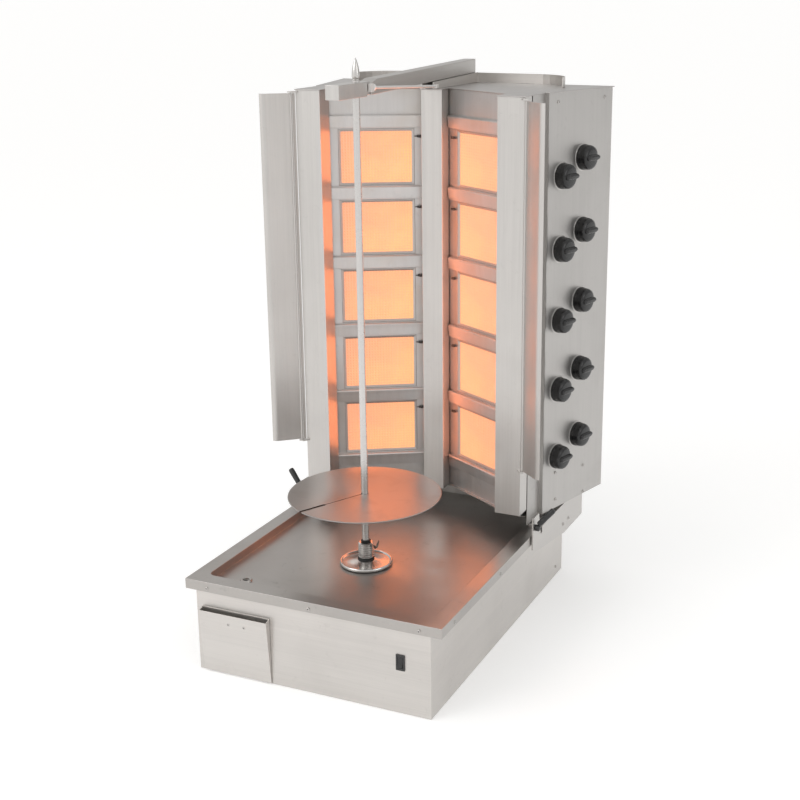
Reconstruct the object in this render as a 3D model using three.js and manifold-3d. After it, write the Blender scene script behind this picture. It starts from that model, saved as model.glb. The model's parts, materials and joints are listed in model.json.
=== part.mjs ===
// Vertical gas broiler for a meat spit: a drip-tray base with the drive below the tray,
// and a sliding burner housing with two upright banks of five radiants set in a V.
// Millimetres, +Z up. X = 0 is the middle, Y points to the back, Z = 0 is the underside.
import * as THREE from 'three';
import { mergeVertices } from 'three/addons/utils/BufferGeometryUtils.js';
import Module from 'manifold-3d';

const wasm = await Module();
wasm.setup();

// ---- Driving dimensions ----
const SHEET = 1.5;
const GAP = 0.3;

const BASE_HALF_WIDTH = 253.5;
const BASE_HALF_DEPTH = 367;
const RIM_TOP = 191;
const RIM_SHEET = 2;
const LIP_BOTTOM = 170;
const RIM_OVERHANG = 23;
const WELL_HALF_WIDTH = 244.5;
const WELL_FRONT = -336;
const WELL_BACK = 300;
const WELL_FLOOR = 174;
const WELL_CORNER = 14;

const SPIT_Y = -130;
const SHAFT_RADIUS = 8;
const SPIT_RADIUS = 7;
const SPIT_TOP = 1142;
const DISC_RADIUS = 155;
const DISC_Z = 324;
const FLANGE_RADIUS = 54;
const SOCKET = { bottom: 188, step: 195, top: 221, screwZ: 213 };

const DRAWER = { left: -240, right: -88, top: 134.5, depth: 300 };

const BANK_ANGLE = THREE.MathUtils.degToRad(30.4);
const APEX_Y = 255.5;
const BANK_BOTTOM = 221;
const HOUSING_TOP = 1103.8;
const BURNER_PITCH = 151;
const BURNER_FIRST_Z = 357;
const BURNER_COUNT = 5;
const WINDOW = { centre: 139, width: 162, height: 120 };
const BURNER = { width: 178, height: 128, depth: 42, plaqueWidth: 160, plaqueHeight: 112 };
const RAIL_FIRST_TOP = 295;
const RAIL_HEIGHT = 26;

const POST = { inner: 197.5, outer: 254, front: 83, back: 123, bottom: 237 };
const ROOF_NOTCH_Y = 135.5;
const CENTRE_POST = { half: 24, front: 205, back: 239.5, bottom: 221 };
const FLOOR_Z = 218.6;

const PANEL_BOTTOM = 200;
const PANEL_FRONT = new THREE.Vector2(264, 200);
const PANEL_REAR = new THREE.Vector2(325, 427);
const KNOB_COLUMNS = [{ along: 47, firstZ: 321.5 }, { along: 125, firstZ: 353 }];
const KNOB_PITCH = 153.2;
const KNOB_RADIUS = 27;
const STEM_RADIUS = 4.5;

const WING_HINGE = new THREE.Vector2(261, 74);
const WING_BEND = new THREE.Vector2(304, 36.5);
const WING_EDGE = new THREE.Vector2(313, 35.2);
const WING_BOTTOM = 343;
const WING_TOP = 1098;

const ARM_FRONT = -223;
const ARM_REAR = 411;
const ARM_HALF = 14;
const ARM_RISE = 0.03;

const RAIL_BAND_Y = 427;
const CLAMP = { y: 104, z: 208 };

// ---- Solids ----
function signedVolume(position, index) {
  let sum = 0;
  const a = new THREE.Vector3();
  const b = new THREE.Vector3();
  const c = new THREE.Vector3();
  for (let i = 0; i < index.length; i += 3) {
    a.fromArray(position, 3 * index[i]);
    b.fromArray(position, 3 * index[i + 1]);
    c.fromArray(position, 3 * index[i + 2]);
    sum += a.dot(b.cross(c));
  }
  return sum;
}

// A closed geometry as a solid whose faces point out.
function solid(geometry) {
  geometry.deleteAttribute('normal');
  geometry.deleteAttribute('uv');
  const merged = mergeVertices(geometry, 1e-4);
  const position = merged.attributes.position.array;
  const index = Uint32Array.from(merged.index.array);
  if (signedVolume(position, index) < 0) index.reverse();
  const mesh = new wasm.Mesh({ numProp: 3, vertProperties: new Float32Array(position), triVerts: index });
  return new wasm.Manifold(mesh);
}

function join(first, ...others) {
  return others.reduce((whole, piece) => whole.add(piece), first);
}

function cut(first, ...others) {
  return others.reduce((whole, piece) => whole.subtract(piece), first);
}

function block(x0, x1, y0, y1, z0, z1) {
  const geometry = new THREE.BoxGeometry(x1 - x0, y1 - y0, z1 - z0);
  geometry.translate((x0 + x1) / 2, (y0 + y1) / 2, (z0 + z1) / 2);
  return solid(geometry);
}

function outlineShape(points) {
  return new THREE.Shape(points.map(p => new THREE.Vector2(...p)));
}

// A plan outline of [x, y] points raised from z0 to z1.
function raised(points, z0, z1) {
  const shape = points instanceof THREE.Shape ? points : outlineShape(points);
  const settings = { depth: z1 - z0, bevelEnabled: false, curveSegments: 6 };
  const geometry = new THREE.ExtrudeGeometry(shape, settings);
  geometry.translate(0, 0, z0);
  return solid(geometry);
}

// A side outline of [y, z] points drawn out from x0 to x1.
function drawnX(points, x0, x1) {
  const geometry = new THREE.ExtrudeGeometry(outlineShape(points), { depth: x1 - x0, bevelEnabled: false });
  const toSide = new THREE.Matrix4().makeBasis(
    new THREE.Vector3(0, 1, 0), new THREE.Vector3(0, 0, 1), new THREE.Vector3(1, 0, 0));
  geometry.applyMatrix4(toSide);
  geometry.translate(x0, 0, 0);
  return solid(geometry);
}

// A profile of [radius, z] points turned about the vertical line through (x, y).
function turned(profile, x = 0, y = 0, segments = 32) {
  const points = profile.map(p => new THREE.Vector2(...p));
  const geometry = new THREE.LatheGeometry(points, segments);
  geometry.rotateX(Math.PI / 2);
  geometry.translate(x, y, 0);
  return solid(geometry);
}

function rodGeometry(from, to, radius, segments = 16) {
  const run = new THREE.Vector3().subVectors(to, from);
  const geometry = new THREE.CylinderGeometry(radius, radius, run.length(), segments);
  const turn = new THREE.Quaternion().setFromUnitVectors(new THREE.Vector3(0, 1, 0), run.clone().normalize());
  geometry.applyQuaternion(turn);
  const middle = new THREE.Vector3().addVectors(from, to).multiplyScalar(0.5);
  geometry.translate(middle.x, middle.y, middle.z);
  return geometry;
}

function rod(from, to, radius, segments) {
  return solid(rodGeometry(new THREE.Vector3(...from), new THREE.Vector3(...to), radius, segments));
}

// The plan outline of a bent sheet: a run of points, and the same run set in by the thickness.
function sheetOutline(run, thickness = SHEET) {
  const points = run.map(p => (p instanceof THREE.Vector2 ? p : new THREE.Vector2(...p)));
  const normal = (a, b) => new THREE.Vector2(-(b.y - a.y), b.x - a.x).normalize();
  const inner = points.map((p, i) => {
    const before = i > 0 ? normal(points[i - 1], p) : null;
    const after = i < points.length - 1 ? normal(p, points[i + 1]) : null;
    const first = before ?? after;
    const second = after ?? before;
    const mitre = first.clone().add(second).normalize();
    return p.clone().addScaledVector(mitre, thickness / mitre.dot(first));
  });
  return [...points, ...inner.reverse()].map(p => [p.x, p.y]);
}

function roundedRectangle(x0, x1, y0, y1, radius) {
  const shape = new THREE.Shape();
  shape.absarc(x1 - radius, y1 - radius, radius, 0, Math.PI / 2);
  shape.absarc(x0 + radius, y1 - radius, radius, Math.PI / 2, Math.PI);
  shape.absarc(x0 + radius, y0 + radius, radius, Math.PI, 1.5 * Math.PI);
  shape.absarc(x1 - radius, y0 + radius, radius, 1.5 * Math.PI, 2 * Math.PI);
  return shape;
}

const mirrorX = points => points.map(([x, y]) => [-x, y]).reverse();

// ---- Finishes ----
function finish(color, roughness, metalness) {
  return new THREE.MeshStandardMaterial({ color, roughness, metalness });
}

const steel = () => finish(0xc9c5c1, 0.38, 0.9);
const darkSteel = () => finish(0x8f8b87, 0.42, 0.9);
const blackPlastic = () => finish(0x18181a, 0.45, 0);
const castIron = () => finish(0x55585c, 0.7, 0.6);
const brass = () => finish(0xb59a55, 0.35, 0.9);
const radiant = () => finish(0xffb070, 0.8, 0);

const machine = new THREE.Group();

function add(name, shape, material, parent = machine) {
  const result = shape.getMesh();
  const geometry = new THREE.BufferGeometry();
  geometry.setAttribute('position', new THREE.BufferAttribute(new Float32Array(result.vertProperties), 3));
  geometry.setIndex(new THREE.BufferAttribute(new Uint32Array(result.triVerts), 1));
  geometry.computeVertexNormals();
  const mesh = new THREE.Mesh(geometry, material);
  mesh.name = name;
  parent.add(mesh);
  return mesh;
}

// ---- Base: folded shell, bottom plate and sunken drip tray ----
function buildBase() {
  const wallX = BASE_HALF_WIDTH - SHEET;
  const wallY = BASE_HALF_DEPTH - SHEET;
  const shellTop = RIM_TOP - RIM_SHEET - GAP;
  const drawerMouth = block(DRAWER.left + 6, DRAWER.right - 8, -BASE_HALF_DEPTH - 5, -wallY + 5, 6, 126);
  const switchCut = block(184.5, 198.5, -BASE_HALF_DEPTH - 5, -wallY + 5, 92, 119);
  const shell = cut(
    block(-BASE_HALF_WIDTH, BASE_HALF_WIDTH, -BASE_HALF_DEPTH, BASE_HALF_DEPTH, 0, shellTop),
    block(-wallX, wallX, -wallY, wallY, -5, shellTop + 5),
    drawerMouth,
    switchCut);
  add('base_shell', shell, steel());

  const bottom = block(-wallX + GAP, wallX - GAP, -wallY + GAP, wallY - GAP, 0, SHEET);
  add('base_bottom', bottom, darkSteel());

  const rimX = BASE_HALF_WIDTH + RIM_OVERHANG;
  const rimY = BASE_HALF_DEPTH + 2.3;
  const skirt = cut(
    block(-rimX, rimX, -rimY, rimY, LIP_BOTTOM, RIM_TOP),
    block(-rimX + RIM_SHEET, rimX - RIM_SHEET, -rimY + 2, rimY - 2, LIP_BOTTOM - 5, RIM_TOP - RIM_SHEET));
  const wellOuter = raised(
    roundedRectangle(-WELL_HALF_WIDTH - SHEET, WELL_HALF_WIDTH + SHEET,
      WELL_FRONT - SHEET, WELL_BACK + SHEET, WELL_CORNER + SHEET),
    WELL_FLOOR - RIM_SHEET, RIM_TOP - 0.5);
  const wellInner = raised(
    roundedRectangle(-WELL_HALF_WIDTH, WELL_HALF_WIDTH, WELL_FRONT, WELL_BACK, WELL_CORNER),
    WELL_FLOOR, RIM_TOP + 5);
  const drain = rod([-180, -301, WELL_FLOOR - 10], [-180, -301, WELL_FLOOR + 5], 6, 20);
  const shaftHole = rod([0, SPIT_Y, WELL_FLOOR - 10], [0, SPIT_Y, WELL_FLOOR + 5], 13, 24);
  add('drip_tray', cut(join(skirt, wellOuter), wellInner, drain, shaftHole), steel());
}

// ---- Grease drawer, its front an open-topped wedge to pull it by, on two angle runners ----
function buildDrawer() {
  const face = -BASE_HALF_DEPTH - 0.6;
  const front = drawnX(
    [[face, 2], [face - 2.5, 2], [face - 13.5, DRAWER.top], [face - 12, DRAWER.top], [face, DRAWER.top + 4.5]],
    DRAWER.left, DRAWER.right);
  const fingerScoop = drawnX(
    [[face - SHEET, 18], [face - 2.3, 18], [face - 12.9, DRAWER.top + 10.5], [face - SHEET, DRAWER.top + 10.5]],
    DRAWER.left + SHEET, DRAWER.right - SHEET);
  const left = DRAWER.left + 9;
  const right = DRAWER.right - 10;
  const rear = face + DRAWER.depth;
  const tub = cut(
    block(left, right, face - 1, rear, 10, 122),
    block(left + SHEET, right - SHEET, face + SHEET, rear - SHEET, 10 + SHEET, 130));
  const backing = block(left, right, face - 1, face + SHEET, 8, 122);
  add('grease_drawer', join(cut(front, fingerScoop), tub, backing), steel());

  const runnerEnds = [-BASE_HALF_DEPTH + 5, rear + 2];
  const runners = {
    runner_left: [[-251.6, 1.8], [-250.1, 1.8], [-250.1, 8], [-226, 8], [-226, 9.5], [-251.6, 9.5]],
    runner_right: [[-92.5, 1.8], [-92.5, 9.5], [-106, 9.5], [-106, 8], [-94, 8], [-94, 1.8]],
  };
  for (const [name, outline] of Object.entries(runners)) {
    const length = runnerEnds[1] - runnerEnds[0];
    const geometry = new THREE.ExtrudeGeometry(outlineShape(outline), { depth: length, bevelEnabled: false });
    geometry.rotateX(Math.PI / 2);
    geometry.translate(0, runnerEnds[1], 0);
    add(name, solid(geometry), darkSteel());
  }
}

// ---- Rocker switch: a bezel in the front wall, and the rocker tipped to its off side ----
function buildSwitch() {
  const x = 191.5;
  const z = 105.5;
  const face = -BASE_HALF_DEPTH - GAP;
  const bezel = cut(
    join(
      block(x - 9, x + 9, face - 2, face, z - 16, z + 16),
      block(x - 6.7, x + 6.7, face - 1, face + 14, z - 13.2, z + 13.2)),
    block(x - 5, x + 5, face - 5, face + 12, z - 11.4, z + 11.4));
  add('switch_bezel', bezel, blackPlastic());

  const rocker = new THREE.Group();
  rocker.position.set(x, face + 4, z);
  rocker.rotation.x = THREE.MathUtils.degToRad(-7);
  machine.add(rocker);
  const key = drawnX([[-7, 10.4], [-5.6, 0], [-7, -10.4], [3, -9], [6, 0], [3, 9]], -4.6, 4.6);
  add('switch_rocker', key, blackPlastic(), rocker);
}

// ---- Drive below the tray: gearbox on a pedestal, motor, and the bush in the tray ----
function buildDrive() {
  const gearbox = cut(
    join(
      block(-45, 45, SPIT_Y - 45, SPIT_Y + 45, 60, 150),
      block(-60, 60, SPIT_Y - 45, SPIT_Y + 45, SHEET + GAP, 6),
      block(-45, -39, SPIT_Y - 45, SPIT_Y + 45, 5, 61),
      block(39, 45, SPIT_Y - 45, SPIT_Y + 45, 5, 61)),
    rod([0, SPIT_Y, 110], [0, SPIT_Y, 160], SHAFT_RADIUS + GAP, 24));
  add('gearbox', gearbox, castIron());

  const rear = SPIT_Y + 45 + GAP;
  const motor = join(
    rod([0, rear, 105], [0, rear + 14, 105], 38, 28),
    rod([0, rear + 12, 105], [0, rear + 125, 105], 44, 28),
    block(-18, 18, rear + 40, rear + 95, 140, 160));
  add('drive_motor', motor, castIron());

  const bush = turned([
    [SHAFT_RADIUS + GAP, 158], [16, 158], [16, WELL_FLOOR - RIM_SHEET - GAP],
    [12.6, WELL_FLOOR - RIM_SHEET - GAP],
    [12.6, WELL_FLOOR + 0.6], [SHAFT_RADIUS + GAP, WELL_FLOOR + 0.6], [SHAFT_RADIUS + GAP, 158],
  ], 0, SPIT_Y, 18);
  add('shaft_bush', bush, brass());
}

// ---- Spit: everything that turns on the vertical axis ----
function buildSpit() {
  add('drive_shaft', rod([0, SPIT_Y, 112], [0, SPIT_Y, SOCKET.step - 0.5], SHAFT_RADIUS, 24), steel());

  const bore = SHAFT_RADIUS + GAP;
  const saucer = turned([
    [bore, 179], [15, 179], [51, 175.2], [FLANGE_RADIUS, 177.5], [52.5, 181.6],
    [46, 178.8], [16.5, 183], [bore, 183], [bore, 179],
  ], 0, SPIT_Y, 32);
  add('saucer_flange', saucer, steel());

  const ringEnds = [183 + GAP, SOCKET.bottom - GAP];
  const ring = turned([
    [bore, ringEnds[0]], [16.5, ringEnds[0]], [16.5, ringEnds[1]], [bore, ringEnds[1]], [bore, ringEnds[0]],
  ], 0, SPIT_Y, 20);
  add('coupling_ring', ring, blackPlastic());

  const narrow = SPIT_RADIUS + GAP;
  const socket = turned([
    [bore, SOCKET.bottom], [14, SOCKET.bottom], [15.5, SOCKET.bottom + 1.5], [15.5, SOCKET.top - 2],
    [13.5, SOCKET.top], [narrow, SOCKET.top], [narrow, SOCKET.step], [bore, SOCKET.step], [bore, SOCKET.bottom],
  ], 0, SPIT_Y, 20);
  const screwHole = rod([2, SPIT_Y, SOCKET.screwZ], [25, SPIT_Y, SOCKET.screwZ], 2.9, 12);
  add('spit_coupling', cut(socket, screwHole), steel());

  const shank = rod([8, SPIT_Y, SOCKET.screwZ], [24, SPIT_Y, SOCKET.screwZ], 2.6, 12);
  const wingHalf = [[3, -3.5], [11, 3], [11, 9], [7, 10]];
  const wingRound = [...wingHalf, [0, 4], ...mirrorX(wingHalf)];
  const wings = drawnX(wingRound.map(([y, z]) => [SPIT_Y + y, SOCKET.screwZ + z]), 22, 25);
  const screwHead = rod([18, SPIT_Y, SOCKET.screwZ], [26, SPIT_Y, SOCKET.screwZ], 4.6, 16);
  add('thumb_screw', join(shank, wings, screwHead), steel());

  add('spit_rod', rod([0, SPIT_Y, SOCKET.step + 0.5], [0, SPIT_Y, SPIT_TOP], SPIT_RADIUS, 24), steel());

  const tipBase = SPIT_TOP + GAP;
  const tip = turned([
    [0, tipBase], [6.4, tipBase], [7.4, tipBase + 6], [7.4, tipBase + 14], [6.2, tipBase + 24],
    [3.8, tipBase + 33], [1.4, tipBase + 39], [0, tipBase + 41],
  ], 0, SPIT_Y, 16);
  add('spit_tip', tip, steel());

  const hub = SPIT_RADIUS + GAP;
  const plate = turned([
    [hub, DISC_Z - 14], [13, DISC_Z - 14], [13, DISC_Z], [DISC_RADIUS, DISC_Z],
    [DISC_RADIUS, DISC_Z + 2.4], [hub, DISC_Z + 2.4], [hub, DISC_Z - 14],
  ], 0, 0, 60);
  const slitTurn = Math.atan2(-0.893, -0.449);
  const slit = new THREE.BoxGeometry(DISC_RADIUS * 0.55, 2, 8);
  slit.translate(14 + DISC_RADIUS * 0.275, 0, DISC_Z + 1);
  slit.rotateZ(slitTurn);
  const mouth = new THREE.BoxGeometry(DISC_RADIUS * 0.5, 4, 8);
  mouth.translate(DISC_RADIUS * 0.8, 0, DISC_Z + 1);
  mouth.rotateZ(slitTurn);
  const disc = add('meat_disc', cut(plate, solid(slit), solid(mouth)), steel());
  disc.position.y = SPIT_Y;
}

// ---- Burner banks: a windowed front plate with cross rails, and five radiants behind each ----
function buildBank(side, sideName) {
  const bank = new THREE.Group();
  bank.position.y = APEX_Y;
  bank.rotation.z = -side * BANK_ANGLE;
  machine.add(bank);
  const span = (from, to, y0, y1, z0, z1) =>
    block(Math.min(side * from, side * to), Math.max(side * from, side * to), y0, y1, z0, z1);

  const windows = [];
  for (let i = 0; i < BURNER_COUNT; i += 1) {
    const z = BURNER_FIRST_Z + i * BURNER_PITCH;
    windows.push(span(WINDOW.centre - WINDOW.width / 2, WINDOW.centre + WINDOW.width / 2,
      -5, 8, z - WINDOW.height / 2, z + WINDOW.height / 2));
  }
  let front = cut(span(26.5, 246, 0, 2, BANK_BOTTOM, HOUSING_TOP - 0.3), ...windows);
  for (let i = 0; i <= BURNER_COUNT; i += 1) {
    const top = RAIL_FIRST_TOP + i * BURNER_PITCH;
    const foot = top - RAIL_HEIGHT;
    const profile = [[0.5, top], [-7, top], [-9, top - 2.5], [-8, top - 10], [-6.5, foot], [0.5, foot]];
    const ends = [side * 34, side * 238].sort((a, b) => a - b);
    front = front.add(drawnX(profile, ends[0], ends[1]));
  }
  front = front.add(span(34, 238, -7, 0.5, BANK_BOTTOM, BANK_BOTTOM + SHEET));
  add(`bank_front_${sideName}`, front, steel(), bank);

  for (let i = 0; i < BURNER_COUNT; i += 1) {
    const z = BURNER_FIRST_Z + i * BURNER_PITCH;
    const middle = WINDOW.centre;
    const halfWidth = BURNER.width / 2;
    const halfHeight = BURNER.height / 2;
    const rear = 2.4 + BURNER.depth;
    const step = 14;
    const body = join(
      span(middle - halfWidth, middle + halfWidth, 2.4, 20, z - halfHeight, z + halfHeight),
      span(middle - halfWidth + step, middle + halfWidth - step, 19, rear - 6,
        z - halfHeight + step, z + halfHeight - step),
      rod([side * middle, rear - 8, z], [side * middle, rear + 14, z], 14, 14));
    const recess = span(middle - BURNER.plaqueWidth / 2, middle + BURNER.plaqueWidth / 2,
      0, 5, z - BURNER.plaqueHeight / 2, z + BURNER.plaqueHeight / 2);
    add(`burner_${sideName}_${i + 1}`, cut(body, recess), radiant(), bank);
  }
}

// ---- Housing: posts, floor, side panels, back and roof ----
function buildHousing() {
  const centre = sheetOutline([
    [-CENTRE_POST.half, CENTRE_POST.back], [-CENTRE_POST.half, CENTRE_POST.front],
    [CENTRE_POST.half, CENTRE_POST.front], [CENTRE_POST.half, CENTRE_POST.back],
  ]);
  add('post_centre', raised(centre, CENTRE_POST.bottom, HOUSING_TOP), steel());

  const channel = sheetOutline([
    [POST.inner, POST.back], [POST.inner, POST.front], [POST.outer, POST.front], [POST.outer, POST.back],
  ]);
  const ear = [
    [POST.outer - 6, POST.front + 1], [POST.outer - 6, POST.front - 3], [WING_HINGE.x - 5, WING_HINGE.y - 5],
    [WING_HINGE.x + 5, WING_HINGE.y - 5], [WING_HINGE.x + 5, WING_HINGE.y + 3],
    [POST.outer - 0.5, POST.front + 1],
  ];
  const pinHole = rod([WING_HINGE.x, WING_HINGE.y, 300], [WING_HINGE.x, WING_HINGE.y, 1150], 2.8, 12);
  const post = cut(join(
    raised(channel, POST.bottom, HOUSING_TOP),
    raised(ear, WING_BOTTOM - 4, WING_BOTTOM - 1),
    raised(ear, WING_TOP + 1, WING_TOP + 4)), pinHole);
  add('post_right', post, steel());
  add('post_left', post.mirror([1, 0, 0]), steel());

  const floorHalf = [
    [0, APEX_Y + 6], [30, APEX_Y - 12], [POST.inner + 6, POST.back + 2], [POST.outer - 4, POST.back + 2],
    [POST.outer - 4, PANEL_FRONT.y], [PANEL_FRONT.x - 5, PANEL_FRONT.y + 2],
    [PANEL_REAR.x - 5, PANEL_REAR.y - 5],
  ];
  const floorOutline = [...floorHalf, ...mirrorX(floorHalf.slice(1))];
  add('housing_floor', raised(floorOutline, FLOOR_Z, FLOOR_Z + SHEET), darkSteel());

  const sideRun = [
    [POST.outer + 1, POST.back + 3], [POST.outer + 1, PANEL_FRONT.y - 4], [PANEL_FRONT.x, PANEL_FRONT.y - 4],
    [PANEL_FRONT.x, PANEL_FRONT.y], [PANEL_REAR.x, PANEL_REAR.y], [PANEL_REAR.x - 18, PANEL_REAR.y],
  ];
  const side = raised(sheetOutline(sideRun), PANEL_BOTTOM, HOUSING_TOP);
  add('side_panel_left', side.mirror([1, 0, 0]), steel());
  let control = side;
  forEachKnob(({ point, normal, z }) => {
    const from = point.clone().addScaledVector(normal, -12);
    const to = point.clone().addScaledVector(normal, 12);
    control = control.subtract(rod([from.x, from.y, z], [to.x, to.y, z], STEM_RADIUS + 1.5, 10));
  });
  add('control_panel', control, steel());

  const backY = PANEL_REAR.y + GAP;
  let back = block(-PANEL_REAR.x + 2, PANEL_REAR.x - 2, backY, backY + SHEET, PANEL_BOTTOM, HOUSING_TOP);
  for (let row = 0; row < 8; row += 1) {
    for (const x of [-110, 110]) {
      const z = 880 + row * 18;
      back = back.subtract(block(x - 80, x + 80, backY - 5, backY + 5, z, z + 6));
    }
  }
  add('back_panel', back, steel());

  const roofZ = HOUSING_TOP + GAP;
  const roofHalf = [
    [CENTRE_POST.half + 2, CENTRE_POST.front - 2], [CENTRE_POST.half + 2, CENTRE_POST.back - 3],
    [POST.inner - 2, ROOF_NOTCH_Y], [POST.inner - 2, POST.front - 2],
    [POST.outer + 2, POST.front - 2], [POST.outer + 4, PANEL_FRONT.y - 8],
    [PANEL_FRONT.x + 3, PANEL_FRONT.y - 8],
    [PANEL_REAR.x + 3, PANEL_REAR.y + 5],
  ];
  const roof = raised([...roofHalf, ...mirrorX(roofHalf)], roofZ, roofZ + 2);
  add('roof', roof, steel());

  const railZ = roofZ + 2 + GAP;
  const bendStart = 150;
  const bendRadius = 95;
  const rearRun = [];
  for (let i = 0; i <= 8; i += 1) {
    const turn = (i / 8) * Math.PI / 2;
    const x = bendStart + bendRadius * Math.cos(turn);
    rearRun.push([x, RAIL_BAND_Y - bendRadius + bendRadius * Math.sin(turn)]);
  }
  const wholeRun = [...rearRun, ...mirrorX(rearRun)];
  const band = raised(sheetOutline(wholeRun, 2), railZ, railZ + 21);
  const guideTop = y => railZ + 15 + (y - CENTRE_POST.front) * ARM_RISE;
  const guideStart = CENTRE_POST.front - 19;
  const guideEnd = RAIL_BAND_Y - 1;
  const guideProfile = [
    [guideStart, railZ], [guideEnd, railZ], [guideEnd, guideTop(guideEnd)],
    [guideStart, guideTop(guideStart)],
  ];
  const guides = join(drawnX(guideProfile, 12, 14), drawnX(guideProfile, -14, -12));
  add('roof_rail', join(band, guides), steel());
}

// ---- Knobs on the right panel, and the gas rail with a valve behind each knob ----
function forEachKnob(make) {
  const along = new THREE.Vector2().subVectors(PANEL_REAR, PANEL_FRONT).normalize();
  const normal = new THREE.Vector2(along.y, -along.x);
  let number = 1;
  for (let row = 0; row < BURNER_COUNT; row += 1) {
    for (const column of KNOB_COLUMNS) {
      const point = PANEL_FRONT.clone().addScaledVector(along, column.along);
      make({ number, point, normal, along, z: column.firstZ + row * KNOB_PITCH });
      number += 1;
    }
  }
}

function buildControls() {
  const skirt = turned([
    [0, 0.8], [KNOB_RADIUS, 0.8], [KNOB_RADIUS - 1, 5.6], [24.5, 7], [23, 22], [21, 24.5], [0, 24.5],
  ], 0, 0, 20);
  const stem = rod([0, 0, -17], [0, 0, 2], STEM_RADIUS, 8);
  const ridge = block(-21, 28, -6.5, 6.5, 4, 30.5);
  const knob = join(skirt, stem, ridge);
  let rail = null;
  const depth = 46;
  const pipeAlong = 79;
  forEachKnob(({ number, point, normal, along, z }) => {
    const frame = new THREE.Group();
    frame.position.set(point.x, point.y, z);
    const basis = new THREE.Matrix4().makeBasis(
      new THREE.Vector3(along.x, along.y, 0),
      new THREE.Vector3(0, 0, 1),
      new THREE.Vector3(normal.x, normal.y, 0));
    frame.quaternion.setFromRotationMatrix(basis);
    machine.add(frame);
    add(`knob_${number}`, knob, blackPlastic(), frame);

    const at = inward => point.clone().addScaledVector(normal, -inward);
    const pipe = PANEL_FRONT.clone().addScaledVector(along, pipeAlong).addScaledVector(normal, -depth);
    const valve = join(
      rod([at(17.6).x, at(17.6).y, z], [at(depth + 8).x, at(depth + 8).y, z], 9, 8),
      rod([at(depth).x, at(depth).y, z], [pipe.x, pipe.y, z], 5.5, 6));
    rail = rail ? rail.add(valve) : valve;
    if (number === 1) {
      rail = rail.add(rod([pipe.x, pipe.y, 232], [pipe.x, pipe.y, 1040], 10, 12));
    }
  });
  add('gas_rail', rail, brass());
}

// ---- Side wings that hinge on the outer posts ----
function buildWings() {
  const upright = (from, to, radius, segments) =>
    rod([WING_HINGE.x, WING_HINGE.y, from], [WING_HINGE.x, WING_HINGE.y, to], radius, segments);
  const pin = upright(WING_BOTTOM - 4, WING_TOP + 4, 2.5, 12);
  const barrel = upright(WING_BOTTOM, WING_TOP, 4.5, 16);
  const leaf = raised(sheetOutline([WING_HINGE, WING_BEND, WING_EDGE]), WING_BOTTOM, WING_TOP);
  const wing = join(pin, barrel, leaf);
  add('wing_right', wing, steel());
  add('wing_left', wing.mirror([1, 0, 0]), steel());
}

// ---- Saddles that carry the housing on the tray rim, and their clamp levers ----
function buildSaddles() {
  const outer = BASE_HALF_WIDTH + RIM_OVERHANG + 2;
  const cheek = drawnX([
    [92, 232], [92, 160], [124, 147], [299, 121], [424, 121],
    [424, 199], [369, 199], [179, 180], [140, 180], [128, 232],
  ], outer, outer + 3);
  const legZ = RIM_TOP + GAP;
  const saddle = cut(join(
    cheek,
    block(250, outer + 1, 150, 360, legZ, legZ + 3),
    block(outer - 1, outer + 3, 150, 360, 176, legZ + 3),
    block(250, 253, 205, 360, legZ, FLOOR_Z - GAP)),
    rod([outer - 5, CLAMP.y, CLAMP.z], [outer + 8, CLAMP.y, CLAMP.z], 4, 14));
  add('saddle_right', saddle, steel());
  add('saddle_left', saddle.mirror([1, 0, 0]), steel());

  const start = outer + 3 + GAP;
  const gripFrom = new THREE.Vector3(start + 7, CLAMP.y + 2, CLAMP.z + 7);
  const gripTo = new THREE.Vector3(start + 37, CLAMP.y + 11, CLAMP.z + 41.5);
  const lever = join(
    rod([outer - 4, CLAMP.y, CLAMP.z], [start + 6, CLAMP.y, CLAMP.z], 3.6, 10),
    rod([start, CLAMP.y, CLAMP.z], [start + 11, CLAMP.y, CLAMP.z], 7, 14),
    rod(gripFrom.toArray(), gripTo.toArray(), 6.3, 14));
  add('clamp_lever_right', lever, blackPlastic());
  add('clamp_lever_left', lever.mirror([1, 0, 0]), blackPlastic());
}

// ---- Top arm: the head that steadies the spit, and the bar that slides over the roof ----
function buildArm() {
  const headTop = 1139;
  const headBottom = 1112;
  const headRear = -111;
  const collarEnd = -95;
  const head = cut(
    join(
      block(-ARM_HALF, ARM_HALF, ARM_FRONT, headRear, headBottom, headTop),
      block(-ARM_HALF + 3, ARM_HALF - 3, headRear - 2, collarEnd, headBottom + 3, headTop)),
    rod([0, SPIT_Y, 1100], [0, SPIT_Y, 1150], SPIT_RADIUS + 0.8, 24));
  add('arm_head', head, steel());

  const barStart = collarEnd + GAP;
  const under = y => 1122.6 + (y - CENTRE_POST.front) * ARM_RISE;
  const bar = drawnX([
    [barStart, under(barStart)], [ARM_REAR, under(ARM_REAR)], [ARM_REAR, under(ARM_REAR) + 29],
    [barStart + 26, under(barStart) + 29], [barStart, under(barStart) + 22],
  ], -ARM_HALF, ARM_HALF);
  add('arm_bar', bar, darkSteel());

  const stay = join(
    rod([17.6, -103, 1128], [17.6, 192, 1112], 3, 12),
    block(ARM_HALF + 0.6, ARM_HALF + 7, -109, -97, 1120, 1135),
    block(14.7, 21, 188, 198, 1108.5, 1116));
  add('stay_rod', stay, steel());
}

buildBase();
buildDrawer();
buildSwitch();
buildDrive();
buildSpit();
buildBank(-1, 'left');
buildBank(1, 'right');
buildHousing();
buildControls();
buildWings();
buildSaddles();
buildArm();

export default machine;
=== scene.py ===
# Upright gas broiler for a meat cone: a drip-tray base with the drive inside, a turning spit, and a
# sliding housing with two banks of five glowing radiants. Metres, +Z up, one frame with the CAD model.
import json
import math

import bmesh
import bpy
from mathutils import Matrix, Vector


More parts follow.
